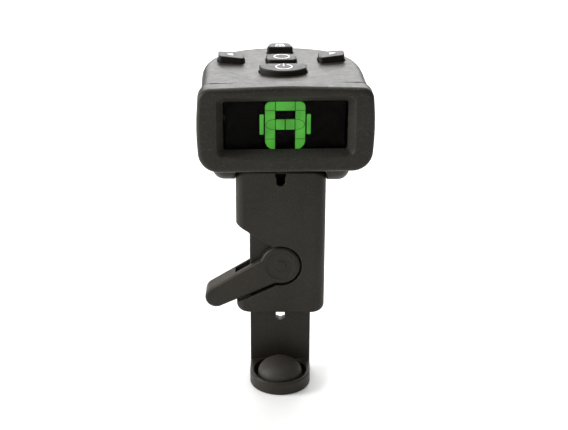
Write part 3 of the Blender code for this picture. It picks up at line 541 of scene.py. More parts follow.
def smoked(name, body_share=0.08):
    """Dark see-through lens: mostly clear, under a thin share of polished, faintly wiped body."""
    finish, node, surface = shader(name)
    wipe = noise(node, 4.0, 4.0, 0.7, (1, 1, 0.3))
    body = surface(Base_Color=(0.006, 0.005, 0.005, 1), Specular_IOR_Level=0.12,
                   Roughness=remap(node, wipe, 0.3, 0.75, 0.04, 0.12))
    clear = node("BsdfTransparent", Color=(0.9, 0.9, 0.9, 1))
    blend = node("MixShader", Fac=body_share)
    put(blend.inputs[1], clear.outputs["BSDF"])
    put(blend.inputs[2], body.outputs["BSDF"])
    put(finish.node_tree.nodes["Material Output"].inputs["Surface"], blend.outputs["Shader"])
    return finish


def display_cell(name):
    """The liquid-crystal cell: near black, with a faint slow change of tone."""
    finish, node, surface = shader(name)
    cloud = noise(node, 5.0, 2.0)
    surface(Base_Color=mix(node, cloud, (0.0015, 0.001, 0.001, 1), (0.003, 0.002, 0.002, 1)),
            Roughness=remap(node, cloud, 0.3, 0.7, 0.3, 0.45), Specular_IOR_Level=0.05,
            Normal=bumps(node, ((noise(node, 0.3), 0.1, 0.002),)))
    return finish


def lit(name, colour, strength):
    """A lit display segment: slow changes of brightness and a faint cell grain."""
    finish, node, surface = shader(name)
    cloud = noise(node, 2.2, 2.0)
    grain = noise(node, 0.12, 1.0)
    tone = mix(node, remap(node, cloud, 0.3, 0.7), rgba(colour, 0.8), rgba(colour, 1.25))
    tone = mix(node, remap(node, grain, 0.5, 0.8, 0, 0.2), tone, rgba(colour, 0.6))
    surface(Base_Color=rgba(colour, 0.3), Emission_Color=tone, Emission_Strength=strength,
            Roughness=remap(node, cloud, 0.3, 0.7, 0.4, 0.6))
    return finish


def ink(name):
    """White printed icon: slightly uneven, matt, with a little painted glow that brightens it."""
    finish, node, surface = shader(name)
    patch = noise(node, 0.3, 3.0)
    # the emission is a painted glow: it brightens the white print beyond the light it gets
    surface(Base_Color=mix(node, patch, (0.86, 0.86, 0.84, 1), (0.97, 0.97, 0.96, 1)),
            Roughness=remap(node, patch, 0.3, 0.7, 0.45, 0.65), Emission_Color=WHITE,
            Emission_Strength=0.25, Normal=bumps(node, ((patch, 0.2, 0.005),)))
    return finish


FINISHES = {
    "clamp_plastic": moulded("clamp_plastic", (0.022, 0.0185, 0.0135), 0.46, 0.22, grain_depth=0.018,
                             flecks=2.6),
    "head_shell": moulded("head_plastic", (0.021, 0.0185, 0.014), 0.44, 0.22, grain=0.3,
                          grain_depth=0.035, flecks=2.6),
    "button_rubber": moulded("button_rubber", (0.018, 0.0165, 0.0145), 0.5, 0.22, grain=0.16),
    "pad_rubber": moulded("pad_rubber", (0.034, 0.030, 0.025), 0.6, 0.3, grain=0.2),
    "black_epoxy": moulded("black_epoxy", (0.012, 0.012, 0.013), 0.5, 0.4, grain=0.1),
    "light_guide": moulded("light_guide", (0.75, 0.80, 0.75), 0.35, 0.5, grain=0.5, tone=0.04),
    "red_wire": moulded("red_wire", (0.45, 0.02, 0.015), 0.4, 0.4, grain=0.3),
    "black_wire": moulded("black_wire", (0.02, 0.02, 0.02), 0.4, 0.4, grain=0.3),
    "steel": metal("steel", (0.60, 0.60, 0.61), 0.26),
    "dark_steel": metal("dark_steel", (0.075, 0.075, 0.08), 0.36),
    "brass": metal("brass", (0.75, 0.56, 0.25), 0.28, (1, 1, 1)),
    "circuit_board": circuit_board("circuit_board"),
    "silicone": striped("silicone", (0.05, 0.05, 0.05), (0.62, 0.62, 0.64), 0.18),
    "smoked_window": smoked("smoked_window"),
    "display_glass": display_cell("display_glass"),
}
RECESS = speckled("recess_plastic", (0.020, 0.0185, 0.015))
GREEN = lit("display_green", (0.115, 0.61, 0.062), 0.72)
INK = ink("printed_icon_painted_glow")


# ---- clamp sleeve
def sleeve_block(name):
    """The sleeve's outside: rounded long edges, rounded corners, softly rounded ends."""
    half, rim = SLEEVE.half, 0.35
    plan = rounded_polygon(((-half, SLEEVE.front, 1.7), (half, SLEEVE.front, 1.7),
                            (half, COVER.back, 1.0), (-half, COVER.back, 1.0)))
    rises = [SLEEVE_CORNER * (1 - cos(pi / 2 * i / 14)) for i in range(15)]
    levels = [SLEEVE.low + rise for rise in rises] + [SLEEVE_TOP - rise for rise in reversed(rises)]
    depth = (SLEEVE.front + COVER.back) / 2
    reach = COVER.back - depth
    skin = []
    for z in levels:
        rise = min(z - SLEEVE.low, SLEEVE_TOP - z)
        side = SLEEVE_CORNER - sqrt(max(0.0, SLEEVE_CORNER ** 2 - (SLEEVE_CORNER - rise) ** 2))
        end = max(0.0, rim - rise)
        front = rim - sqrt(max(0.0, rim ** 2 - end ** 2))
        wide, deep = (half - side) / half, (reach - front) / reach
        skin.append([(x * wide, depth + (y - depth) * deep, z) for x, y in plan])
    return loft(name, skin)


def crossing_angle(offset, radius):
    """Angle between a chord's normal and the point where the chord meets the circle."""
    return atan2(sqrt(radius ** 2 - offset ** 2), offset)


def lever_opening(name, low, high, extra=0.0):
    """The round seat of the lever's disc with the wedge the arm swings through."""
    ring = DISC_RADIUS + DISC_GAP
    far = -9.5
    upper_slope, upper_offset = OPENING_UPPER[0], OPENING_UPPER[1] + extra
    lower_slope, lower_offset = OPENING_LOWER[0], OPENING_LOWER[1] + extra
    upper_z = upper_offset / cos(upper_slope) - far * tan(upper_slope)
    lower_z = -lower_offset / cos(lower_slope) + far * tan(lower_slope)
    outline = arc(0, 0, ring, -pi / 2 + lower_slope - crossing_angle(lower_offset, ring),
                  pi / 2 - upper_slope + crossing_angle(upper_offset, ring), 90)
    return plate(name, outline + [(far, upper_z), (far, lower_z)], low, high, "XZ", LEVER)


def lever_gap():
    """The part of the opening beside the bar, through the sleeve's whole depth."""
    gap = lever_opening("lever_gap", 0, 20, extra=0.02)
    return overlap(gap, box("beside_bar", (-12, -1, 0), (-BAR.half - 0.15, 21, 60)))


def clamp_cutter(name, front=-5, back=20, low=0, high=60):
    """A block that reaches past the sleeve on the sides that aren't given."""
    return box(name, (-20, front, low), (20, back, high))


def sleeve_pieces():
    """Front and back mouldings of the sleeve, screwed together along a thin seam."""
    half = BAR.half + 0.15
    wall = SLEEVE.front + FRONT_WALL
    front = combine(sleeve_block("sleeve_front_shell"), clamp_cutter("behind", front=SPLIT))
    combine(front, box("channel", (-half, wall, 0), (half, 20, CAVITY_TOP)))
    combine(front, lever_opening("disc_seat", 0, wall + 0.2), lever_gap())
    slim, wide, step = 0.825, 1.03, 41.7
    notch = rounded_polygon(((-slim, 39.8, 0.8), (slim, 39.8, 0.8), (slim, step - 0.2, 0.15),
                             (wide, step, 0.15), (wide, 50, 0), (-wide, 50, 0), (-wide, step, 0.15),
                             (-slim, step - 0.2, 0.15)))
    combine(front, plate("notch", notch, 0, wall + 0.2, "XZ"))
    web = box("web", (-8.0, TILT_Y - 1.6, CAVITY_TOP + 0.3), (8.0, SPLIT, TILT_Z))
    knuckle = drum("knuckle", 1.9, -8.35, 8.35, (0, TILT_Y, TILT_Z), "X")
    join(front, web, knuckle)
    combine(front, drum("axle_bore", AXLE_BORE, -10, 10, (0, TILT_Y, TILT_Z), "X"))
    for screw in SLEEVE_SCREWS:
        combine(front, drum("screw_bore", SCREW_BORE, 3.9, 9, (screw.x, 0, screw.z), "Y", steps=24))
    dress(soften(front, 0.1), "clamp_body", "clamp_plastic", "sleeve_front")

    back = combine(sleeve_block("sleeve_back_shell"), clamp_cutter("before", back=COVER.front),
                   clamp_cutter("knuckle_room", front=0, low=COVER.high), lever_gap())
    combine(back, lever_opening("plate_seat", 0, COVER.front + 0.95))
    combine(back, drum("spring_seat", 2.7, 5, 8.05, (0, 0, PIVOT_Z), "Y"))
    combine(back, drum("pin_bore", PIN_BORE, 5, 12, (0, 0, PIVOT_Z), "Y"),
            drum("pin_seat", 1.35, 8.3, 12, (0, 0, PIVOT_Z), "Y"))
    for screw in SLEEVE_SCREWS:
        combine(back, drum("cover_bore", SCREW_BORE, 5, 12, (screw.x, 0, screw.z), "Y", steps=24),
                drum("cover_sink", HEAD_SINK, 7.95, 12, (screw.x, 0, screw.z), "Y", steps=40))
    dress(soften(back, 0.1), "clamp_body", "clamp_plastic", "sleeve_back")


# ---- sliding jaw
def rack_outline():
    """Channel in the bar's back with undercut ratchet teeth along its right side."""
    left, tip, root, pitch, lock = -3.95, 1.2, 1.75, 1.25, PIVOT_Z - 3.13
    outline = [(left, 11.3), (tip, 11.3)]
    for click in range(-6, 7):
        face = lock + click * pitch
        outline += [(tip, face - pitch + 0.12), (root, face - 0.28), (root, face + 0.22), (tip, face)]
    return outline + [(tip, 32.6), (left, 32.6)]


def jaw_pieces():
    """The flat bar with its D-shaped foot, and the rubber dome set in the foot's tray."""
    half = BAR.half
    face = rounded_polygon(((-half, 0.4, 0), (half, 0.4, 0), (half, BAR.high, 0.8), (-half, BAR.high, 0.8)))
    bar = plate("jaw_bar", face, BAR_FRONT, BAR_BACK, "XZ", rims=(0.22, 0.22))
    plan = arc(0, 0.2, half, pi, 2 * pi, 60) + [(half, BAR_BACK), (-half, BAR_BACK)]
    foot = plate("foot", plan, 0, FOOT_TOP, "XY", rims=(0.3, 0.35))
    tray = drum("tray", 4.95, TRAY_FLOOR, FOOT_TOP + 0.4, (0, 0.1, 0), "Z", steps=96, far_radius=5.07)
    overlap(tray, box("ahead_of_bar", (-8, -8, 0), (8, BAR_FRONT - 0.15, 5)))
    slot = arc(0, SLOT_ENDS[0], SLOT_HALF, pi, 2 * pi, 24) + arc(0, SLOT_ENDS[1], SLOT_HALF, 0, pi, 24)
    join(bar, foot)
    combine(bar, tray, drum("socket", 1.4, 0.5, 2, (0, DOME.y, 0), "Z"), plate("slot", slot, 0, 20, "XZ"))
    combine(bar, plate("rack", rack_outline(), BAR_BACK - 0.9, 20, "XZ"))
    dress(soften(bar, 0.1), "jaw", "clamp_plastic", "slide_bar")

    shoulder, radius = 2.2, DOME.half
    rise = DOME.high - shoulder
    curve = [pi / 2 * i / 24 for i in range(25)]
    profile = [(radius * sin(turn), shoulder + rise * cos(turn)) for turn in curve]
    under = TRAY_FLOOR + 0.1
    profile += [(radius, under + 0.25), (radius - 0.07, under + 0.07), (radius - 0.25, under), (1.2, under),
                (1.2, DOME.low), (0.0, DOME.low)]
    dome = turned("dome", profile, (0, DOME.y, 0), "Z", steps=96)
    dress(soften(dome, 0), "jaw", "pad_rubber", "dome_pad")


# ---- release lever
def lever_outline():
    """Disc, tapering arm and round tip, around the pivot."""
    lower = -pi / 2 + ARM_LOWER[0] - crossing_angle(ARM_LOWER[1], DISC_RADIUS)
    upper = pi / 2 + ARM_UPPER[0] + crossing_angle(ARM_UPPER[1], DISC_RADIUS)
    outline = arc(0, 0, DISC_RADIUS, lower, upper, 100)
    x, z, radius = TIP
    return outline + arc(x, z, radius, pi / 2 + ARM_UPPER[0], pi * 1.5 + ARM_LOWER[0], 36)


def lever_piece():
    """Fork that straddles the bar, with the pawl on its rear plate and a solid grip."""
    pocket_front, pocket_back, pocket_end = SLEEVE.front + 1.4, SPLIT - 0.02, -8.7
    arm = plate("lever", lever_outline(), ARM.front, ARM.back, "XZ", LEVER, rims=(0.6, 0.42))
    combine(arm, box("fork_pocket", (pocket_end, pocket_front, -20), (20, pocket_back, 20), LEVER))
    pawl = [(-0.9, -3.3), (-0.5, -4.0), (0.75, -4.0), (1.65, -3.2), (1.65, -3.1), (0.9, -3.4), (0.9, -0.7)]
    pawl += arc(0, 0, 1.1, radians(-35), radians(215), 40)
    join(arm, plate("pawl", pawl, BAR_BACK - 0.75, pocket_back + 0.06, "XZ", LEVER))
    combine(arm, drum("bore", PIN_BORE, SLEEVE.front + 0.6, 12, (0, 0, 0), "Y", LEVER))
    combine(arm, drum("circle", 2.75, ARM.front - 1, ARM.front + 0.05, (0, 0, 0), "Y", LEVER, steps=96))
    join(arm, drum("boss", 1.1, ARM.front + 0.01, ARM.front + 0.3, (0, 0, 0), "Y", LEVER, steps=64))
    dress(soften(arm, 0.07), "lever", "clamp_plastic", "release_lever")


# ---- swivel base
def swivel_piece():
    """Turntable under the head with two round ears that straddle the sleeve's knuckle."""
    place = Matrix.Translation((0, TILT_Y * MM, TILT_Z * MM))
    low, high = TURNTABLE[0] - TILT_Z, TURNTABLE[1] - TILT_Z
    radius, corner, ear_inner, ear_outer = 3.9, 2.3, 8.46, SWIVEL_BASE.half
    base = plate("swivel_arm", arc(0, 0, 8.4, 0, 2 * pi, 120)[:-1], low, high, "XY", place, rims=(0.25, 0.2))
    reach = ear_outer - 0.9
    cross = plate("cross", rounded_box(-reach, reach, -3.3, 3.3, 0.5), low - 0.05, high - 0.05, "XY", place,
                  rims=(0.1, 0.25))
    join(base, cross)
    for side in (-1, 1):
        rim = [(radius - corner + corner * cos(turn), side * (ear_outer - corner + corner * sin(turn)))
               for turn in [pi / 2 * (1 - i / 16) for i in range(17)]]
        profile = [(0.0, side * ear_outer), *rim, (radius, side * (ear_inner + 0.15)),
                   (radius - 0.15, side * ear_inner), (0.0, side * ear_inner)]
        near, far = sorted((side * ear_inner, side * (ear_outer - 1.6)))
        foot = rounded_box(near, far, -radius + 0.4, radius - 0.4, 0.4)
        post = plate("post", foot, 0, low + 0.3, "XY", place)
        join(base, turned("ear", profile, (0, 0, 0), "X", place, steps=96), post)
    join(base, drum("spigot", 2.5, low, 49.7 - TILT_Z, (0, 0, 0), "Z", place))
    combine(base, drum("spigot_bore", 0.75, 0, 10, (0, 0, 0), "Z", place, steps=40),
            drum("ear_bore", AXLE_BORE, -20, 20, (0, 0, 0), "X", place, steps=48))
    dress(soften(base, 0.09), "swivel", "clamp_plastic", "swivel_base")


# ---- head
def head_block(name):
    """The head's outside as one block with rounded upper and lower edges."""
    return plate(name, head_outline(), BOTTOM.low, HEAD_TOP, "XY", HEAD, rims=(HEAD_EDGE, HEAD_EDGE))


def head_cavity(rim):
    return plate("cavity", head_outline(HEAD_WALL), BOTTOM.low + FLOOR_WALL, HEAD_TOP - HEAD_WALL, "XY",
                 HEAD, rims=(rim, rim))


def head_cutter(name, front=-30, back=20, low=40, high=70):
    """A block that reaches past the head on the sides that aren't given."""
    return box(name, (-20, front, low), (20, back, high), HEAD)


def button_outlines():
    """Plan outline of each button's cap, and the heights of its left and right ends."""
    bow = [(x, y, 0) for x, y in arc(0, -5.45, 5.0, radians(216), radians(324), 44)]
    power = rounded_polygon(bow + [(4.15, -6.3, 0.35), (3.7, -5.6, 0.35),
                                   (-3.7, -5.6, 0.35), (-4.15, -6.3, 0.35)])
    centre = rounded_box(-2.65, 2.65, -1.85, 2.15, 0.9)
    rear = rounded_polygon(((-2.5, 4.7, 0.5), (2.5, 4.7, 0.5), (1.8, 7.6, 0.6), (-1.8, 7.6, 0.6)))
    left = rounded_polygon(((-11.3, -1.6, 0.7), (-6.7, -2.0, 0.7), (-6.7, 2.0, 0.7), (-11.3, 1.6, 0.7)))
    right = [(-x, y) for x, y in reversed(left)]
    tops = {name: (BUTTONS[name].high, BUTTONS[name].high) for name in BUTTONS}
    tops["left"] = (BUTTONS["left"].high, BUTTONS["left"].high - 0.65)
    tops["right"] = tuple(reversed(tops["left"]))
    outlines = {"power": power, "centre": centre, "rear": rear, "left": left, "right": right}
    return {name: (outlines[name], tops[name]) for name in outlines}


def top_shell_piece():
    """Upper half of the head: dished top with a hole for each button, screw posts inside."""
    shell = head_block("top_cover")
    combine(shell, head_cutter("ahead", back=TOP.front), head_cutter("below", high=TOP.low),
            head_cavity(0.4))
    lip = 0.5
    rings = [1 - i / 24 for i in range(24)]
    profile = [(0.0, HEAD_TOP + 1.0), (DISH_RADIUS + lip, HEAD_TOP + 1.0), (DISH_RADIUS + lip, HEAD_TOP)]
    profile += [(DISH_RADIUS + lip * (1 - i / 4), HEAD_TOP - 0.012 * i) for i in range(1, 4)]
    rim_drop = 0.05
    profile += [(DISH_RADIUS * part, HEAD_TOP - rim_drop - (DISH_DEPTH - rim_drop) * (1 - part ** 2))
                for part in rings]
    profile.append((0.0, HEAD_TOP - DISH_DEPTH))
    combine(shell, turned("dish", profile, (0, 0, 0), "Z", HEAD, steps=120))
    for screw in SHELL_SCREWS:
        spot = (screw.x, screw.y, 0)
        join(shell, drum("post", POST_RADIUS, PARTING + 0.15, HEAD_TOP - 1.0, spot, "Z", HEAD, steps=32))
        combine(shell, drum("post_hole", SCREW_BORE, 50, 59.5, spot, "Z", HEAD, steps=24))
    for name, (outline, _) in button_outlines().items():
        combine(shell, plate(f"{name}_hole", inset(outline, -0.15), 60, 66, "XY", HEAD))
    dress(soften(shell, 0.09), "head", "head_shell", "top_shell")


def bottom_shell_piece():
    """Lower half of the head: floor with the swivel hole, screw posts, the drawer's opening."""
    shell = head_block("bottom_cover")
    combine(shell, head_cutter("ahead", back=BOTTOM.front), head_cutter("above", low=BOTTOM.high),
            head_cavity(0.3))
    for screw in SHELL_SCREWS:
        spot = (screw.x, screw.y, 0)
        join(shell, drum("pad", 1.7, BOTTOM.low + 0.4, 50.1, spot, "Z", HEAD, steps=40),
             drum("post", POST_RADIUS, BOTTOM.low + 0.9, PARTING - 0.15, spot, "Z", HEAD, steps=32))
        combine(shell, drum("bore", SCREW_BORE, 40, 60, spot, "Z", HEAD, steps=24),
                drum("sink", HEAD_SINK, 40, 49.25, spot, "Z", HEAD, steps=40))
    gap = 0.15
    way = plate("drawer_way", head_outline(-2.0), DRAWER.low - gap, PARTING + 1, "XY", HEAD)
    overlap(way, box("drawer_span", (-DRAWER.half - gap, -7, 40), (DRAWER.half + gap, 20, 60), HEAD))
    combine(shell, way, drum("swivel_hole", 2.65, 40, 52, (0, 0, 0), "Z", HEAD))
    dress(soften(shell, 0.09), "head", "head_shell", "bottom_shell")


def drawer_piece():
    """Rear battery drawer: a floor and arms round the cell, and the curved rear face."""
    drawer = plate("drawer", head_outline(), DRAWER.low, DRAWER.high, "XY", HEAD)
    overlap(drawer, box("block", (-DRAWER.half, DRAWER.front, 40), (DRAWER.half, 20, 60), HEAD))
    combine(drawer, drum("cell_seat", CELL.half + 0.15, DRAWER.low + 0.6, 60, (0, CELL.y, 0), "Z", HEAD,
                         steps=120))
    groove_y = TOP.back + 0.45
    combine(drawer, drum("thumb_groove", 1.0, -3.5, 3.5, (0, groove_y, DRAWER.z), "X", HEAD, steps=48))
    for index in range(5):
        x = -1.6 + 0.8 * index
        rib = drum("rib", 0.16, DRAWER.z - 0.7, DRAWER.z + 0.7, (x, TOP.back - 0.48, 0), "Z", HEAD, steps=20)
        join(drawer, rib)
    dress(soften(drawer, 0.09), "drawer", "head_shell", "battery_drawer")


def bezel_outline():
    corner = BEZEL_HALF - 0.6
    low, high = BEZEL.low, HEAD_TOP
    return rounded_polygon(((-corner, low, 3.6), (corner, low, 3.6), (BEZEL_HALF, 56.0, 50),
                            (corner, high - 0.1, 2.2), (0, high + 0.35, 60), (-corner, high - 0.1, 2.2),
                            (-BEZEL_HALF, 56.0, 50)), step=radians(3))


def ring_points(half, low, high, radius, sag):
    """Rounded rectangle, always with the same point count; its lower edge sags by sag."""
    points = arc(half - radius, low + radius, radius, -pi / 2, 0, 12)
    points += arc(half - radius, high - radius, radius, 0, pi / 2, 12)
    points += arc(-half + radius, high - radius, radius, pi / 2, pi, 12)
    points += arc(-half + radius, low + radius, radius, pi, pi * 1.5, 12)
    for i in range(1, 32):
        across = i / 32
        points.append(((half - radius) * (2 * across - 1), low - sag * (1 - (2 * across - 1) ** 2)))
    return points


def bezel_piece():
    """Front frame: arched top, and a sloping textured recess down to the display window."""
    bezel = plate("bezel", bezel_outline(), BEZEL.front, BEZEL.back, "XZ", HEAD, rims=(0.8, 0.25))
    half, low, high = WINDOW
    outer = ring_points(*RECESS_OUTER, 1.1, 0.75)
    inner = ring_points(half, low, high, 0.5, 0.0)
    middle, flare = (low + high) / 2, 1.018
    wide = [(x * flare, middle + (z - middle) * flare) for x, z in outer]
    levels = ((BEZEL.front - 0.4, wide), (BEZEL.front + 2.0, inner), (BEZEL.front + 8.0, inner))
    recess = loft("recess", [[(x, y, z) for x, z in points] for y, points in levels], HEAD)
    recess.data.materials.append(RECESS)
    bezel.data.materials.append(FINISHES["head_shell"])
    combine(bezel, recess)
    pocket = rounded_box(LENS.left - 0.2, LENS.right + 0.2, LENS.low - 0.2, LENS.high + 0.2, 0.5)
    combine(bezel, plate("pocket", pocket, LENS.front - 0.1, 0, "XZ", HEAD))
    dress(soften(bezel, 0.12), "head", "head_shell", "front_bezel")


def button_pieces():
    """Rubber caps with soft rims, each with a flange inside the shell and a post below."""
    for name, (outline, (left_z, right_z)) in button_outlines().items():
        size = BUTTONS[name]
        cap = plate(f"{name}_cap", outline, 60.8, size.high, "XY", HEAD, rims=(0, 0.28))
        if left_z != right_z:
            ends = [x for x, _ in outline]
            near, far = min(ends) - 1, max(ends) + 1
            rows = [[(near, y, left_z), (far, y, right_z), (far, y, 70), (near, y, 70)] for y in (-5, 5)]
            combine(cap, loft("slope", rows, HEAD))
        wide = {"power": (4.8, 1.5), "centre": (3.3, 1.2), "rear": (3.2, 0.9)}.get(name, (0.9, 2.4))
        x, y = BUTTON_PLACES[name]
        flange = box("flange", (x - wide[0], y - wide[1], 60.7), (x + wide[0], y + wide[1], 61.35), HEAD)
        join(cap, flange, drum("post", POST_RADIUS, size.low, 61.0, (x, y, 0), "Z", HEAD, steps=32))
        dress(soften(cap, 0.12 if left_z != right_z else 0.06), f"{name}_button", "button_rubber",
              f"button_{name}")


# ---- display and printed icons
def ellipse(cx, cy, wide, high, steps=48):
    return [(cx + wide * cos(2 * pi * i / steps), cy + high * sin(2 * pi * i / steps)) for i in range(steps)]


def glyph_plate(name, outline, thick=0.03):
    """A thin lit shape just behind the window."""
    front = (LENS.back + GLASS.front) / 2
    return plate(name, outline, front, front + thick, "XZ", HEAD)


def display_pieces():
    """The lit note letter, made of display segments, with a tuning bar at each side."""
    _, low, high = WINDOW
    drop = (LENS.back + 0.1 - BEZEL.front - 2.0) * tan(VIEW_PITCH)
    top, bottom = high - drop, low - drop
    outer, inner, mid = 3.44, 1.75, top - 4.08
    pieces = []
    for hand, side in (("left", -1), ("right", 1)):
        column = rounded_polygon(((side * inner, bottom, 0), (side * outer, bottom, 1.65),
                                  (side * outer, top, 0.95), (side * inner, top, 0)))
        if side < 0:
            column.reverse()
        strip = glyph_plate(f"column_{hand}", column)
        leaf = glyph_plate("leaf", ellipse(side * inner, mid, 1.62, 0.98))
        combine(leaf, glyph_plate("leaf_core", ellipse(side * inner, mid, 1.54, 0.90)))
        near, far = sorted((side * inner, side * outer))
        splits = [box("split", (near - 0.1, LENS.back - 1, z - SPLIT_HALF),
                      (far + 0.1, GLASS.front + 1, z + SPLIT_HALF), HEAD)
                  for z in (top - CAP_HEIGHT, bottom + 1.9)]
        pieces.append(combine(strip, leaf, *splits))
        near, far = sorted((side * 3.7, side * 4.38))
        bar = rounded_box(near, far, top - 5.85, top - 2.25, 0.12)
        pieces.append(glyph_plate(f"tuning_bar_{hand}", bar))
    gap = 0.12
    cap = rounded_box(-inner + gap, inner - gap, top - CAP_HEIGHT, top, 0.05)
    pieces.append(glyph_plate("top_segment", cap))
    for name, near, far in (("middle_left", -inner + gap, -0.08), ("middle_right", 0.08, inner - gap)):
        pieces.append(glyph_plate(name, rounded_box(near, far, mid - 0.92, mid + 0.92, 0.06)))
    for piece in pieces:
        piece.name = f"display_{piece.name}"
        piece.data.shade_flat()
        dress(piece, "head", "display_glass", finish=GREEN)


BUTTON_PLACES = {name: (span(f"switch_{name}", HEAD).x, span(f"switch_{name}", HEAD).y) for name in BUTTONS}


def icon(button, shapes):
    """White printed shapes on a button's top, laid along its slope."""
    outline, (left_z, right_z) = button_outlines()[button]
    near, far = min(x for x, _ in outline), max(x for x, _ in outline)
    slope = (right_z - left_z) / (far - near)
    for index, (shape, hole) in enumerate(shapes):
        print_ = plate(f"icon_{button}_{index}", shape, -0.012, 0.015, "XY", HEAD)
        if hole:
            combine(print_, plate("hole", hole, -1, 1, "XY", HEAD))
        for vertex in print_.data.vertices:
            vertex.co.z += (left_z + slope * (vertex.co.x / MM - near)) * MM
        print_.data.shade_flat()
        dress(print_, f"{button}_button", "button_rubber", finish=INK)


def broken_ring(cx, cy, radius, width, opening):
    """A C-shaped ring, open towards the back by the given half angle."""
    start, end = pi / 2 + opening, pi / 2 - opening + 2 * pi
    return arc(cx, cy, radius, start, end, 48) + list(reversed(arc(cx, cy, radius - width, start, end, 48)))


def icon_pieces():
    line = 0.2
    cx, cy = 0.1, BUTTON_PLACES["power"][1] + 0.05
    bar = rounded_box(cx - line / 2, cx + line / 2, cy + 0.3, cy + 1.75, 0.06)
    icon("power", [(broken_ring(cx, cy, 1.5, line, radians(24)), None), (bar, None)])
    cx, cy = 0.1, 0.35
    icon("centre", [(ellipse(cx, cy, 1.45, 1.45), ellipse(cx, cy, 1.45 - line, 1.45 - line))])
    body = ((-0.95, 5.15, 0.1), (0.95, 5.15, 0.1), (0.62, 6.55, 0.1), (-0.62, 6.55, 0.1))
    inner = ((-0.6, 5.42, 0.05), (0.6, 5.42, 0.05), (0.38, 6.3, 0.05), (-0.38, 6.3, 0.05))
    needle = ((-0.1, 5.42, 0), (0.08, 5.42, 0), (0.42, 6.3, 0), (0.24, 6.3, 0))
    icon("rear", [(rounded_polygon(body), rounded_polygon(inner)), (list(rounded_polygon(needle)), None)])
    for button, side in (("left", -1), ("right", 1)):
        x = BUTTON_PLACES[button][0]
        arrow = [(x + side * 0.95, 0.1), (x - side * 0.75, 0.85), (x - side * 0.75, -0.65)]
        if side > 0:
            arrow.reverse()
        icon(button, [(rounded_polygon([(u, v, 0.12) for u, v in reversed(arrow)]), None)])


# ---- hardware
def cross_recess(solid, spot, axis, depth_range, reach, width, place):
    """Cuts a cross-shaped driver recess with tapering arms."""
    low, high = depth_range
    for turn in (0, 90):
        wing = rounded_box(-reach, reach, -width, width, width * 0.6)
        cutter = plate("recess", wing, low, high, "XY")
        cutter.data.transform(Matrix.Rotation(radians(turn), 4, "Z"))
        cutter.data.transform(AXIS_TURNS[axis])
        cutter.data.transform(Matrix.Translation([c * MM for c in spot]))
        cutter.matrix_world = place
        combine(solid, cutter)


def screw_pieces():
    """Countersunk and pan screws: smooth turned heads with a cross recess and thread grooves."""
    for index, size in enumerate(SLEEVE_SCREWS, start=1):
        head, shank = 0.92, 0.45
        high, seat, tip = size.back, 8.05, size.front
        profile = [(0.0, high), (head - 0.25, high - 0.02), (head - 0.1, high - 0.09),
                   (head, high - 0.25), (head, seat)]
        profile += thread(shank, seat, tip + 0.4) + [(shank - 0.25, tip), (0.0, tip)]
        screw = turned(f"cover_screw_{index}", profile, (size.x, 0, size.z), "Y", steps=40)
        cross_recess(screw, (size.x, 0, size.z), "Y", (high - 0.35, high + 0.5), 0.6, 0.13, WORLD)
        dress(soften(screw, 0.03), "clamp_body", "dark_steel", f"sleeve_screw_{index}")
    for index, size in enumerate(SHELL_SCREWS, start=1):
        head, shank, low = 0.9, 0.45, size.low
        profile = [(0.0, size.high), (shank, size.high - 0.4)] + thread(shank, size.high - 0.45, low + 0.8)
        profile += [(shank, low + 0.75), (head, low + 0.26), (head, low + 0.06), (head - 0.06, low),
                    (0.0, low)]
        screw = turned(f"post_screw_{index}", profile, (size.x, size.y, 0), "Z", HEAD, steps=40)
        cross_recess(screw, (size.x, size.y, 0), "Z", (low - 0.3, low + 0.35), 0.56, 0.13, HEAD)
        dress(soften(screw, 0.03), "head", "steel", f"shell_screw_{index}")


def thread(radius, start, end, pitch=0.35, depth=0.06):
    """Profile points of a fine thread between two heights."""
    count = max(1, int(abs(end - start) / pitch))
    step = (end - start) / count
    points = [(radius, start)]
    for i in range(count):
        points += [(radius - depth, start + step * (i + 0.5)), (radius, start + step * (i + 1))]
    return points


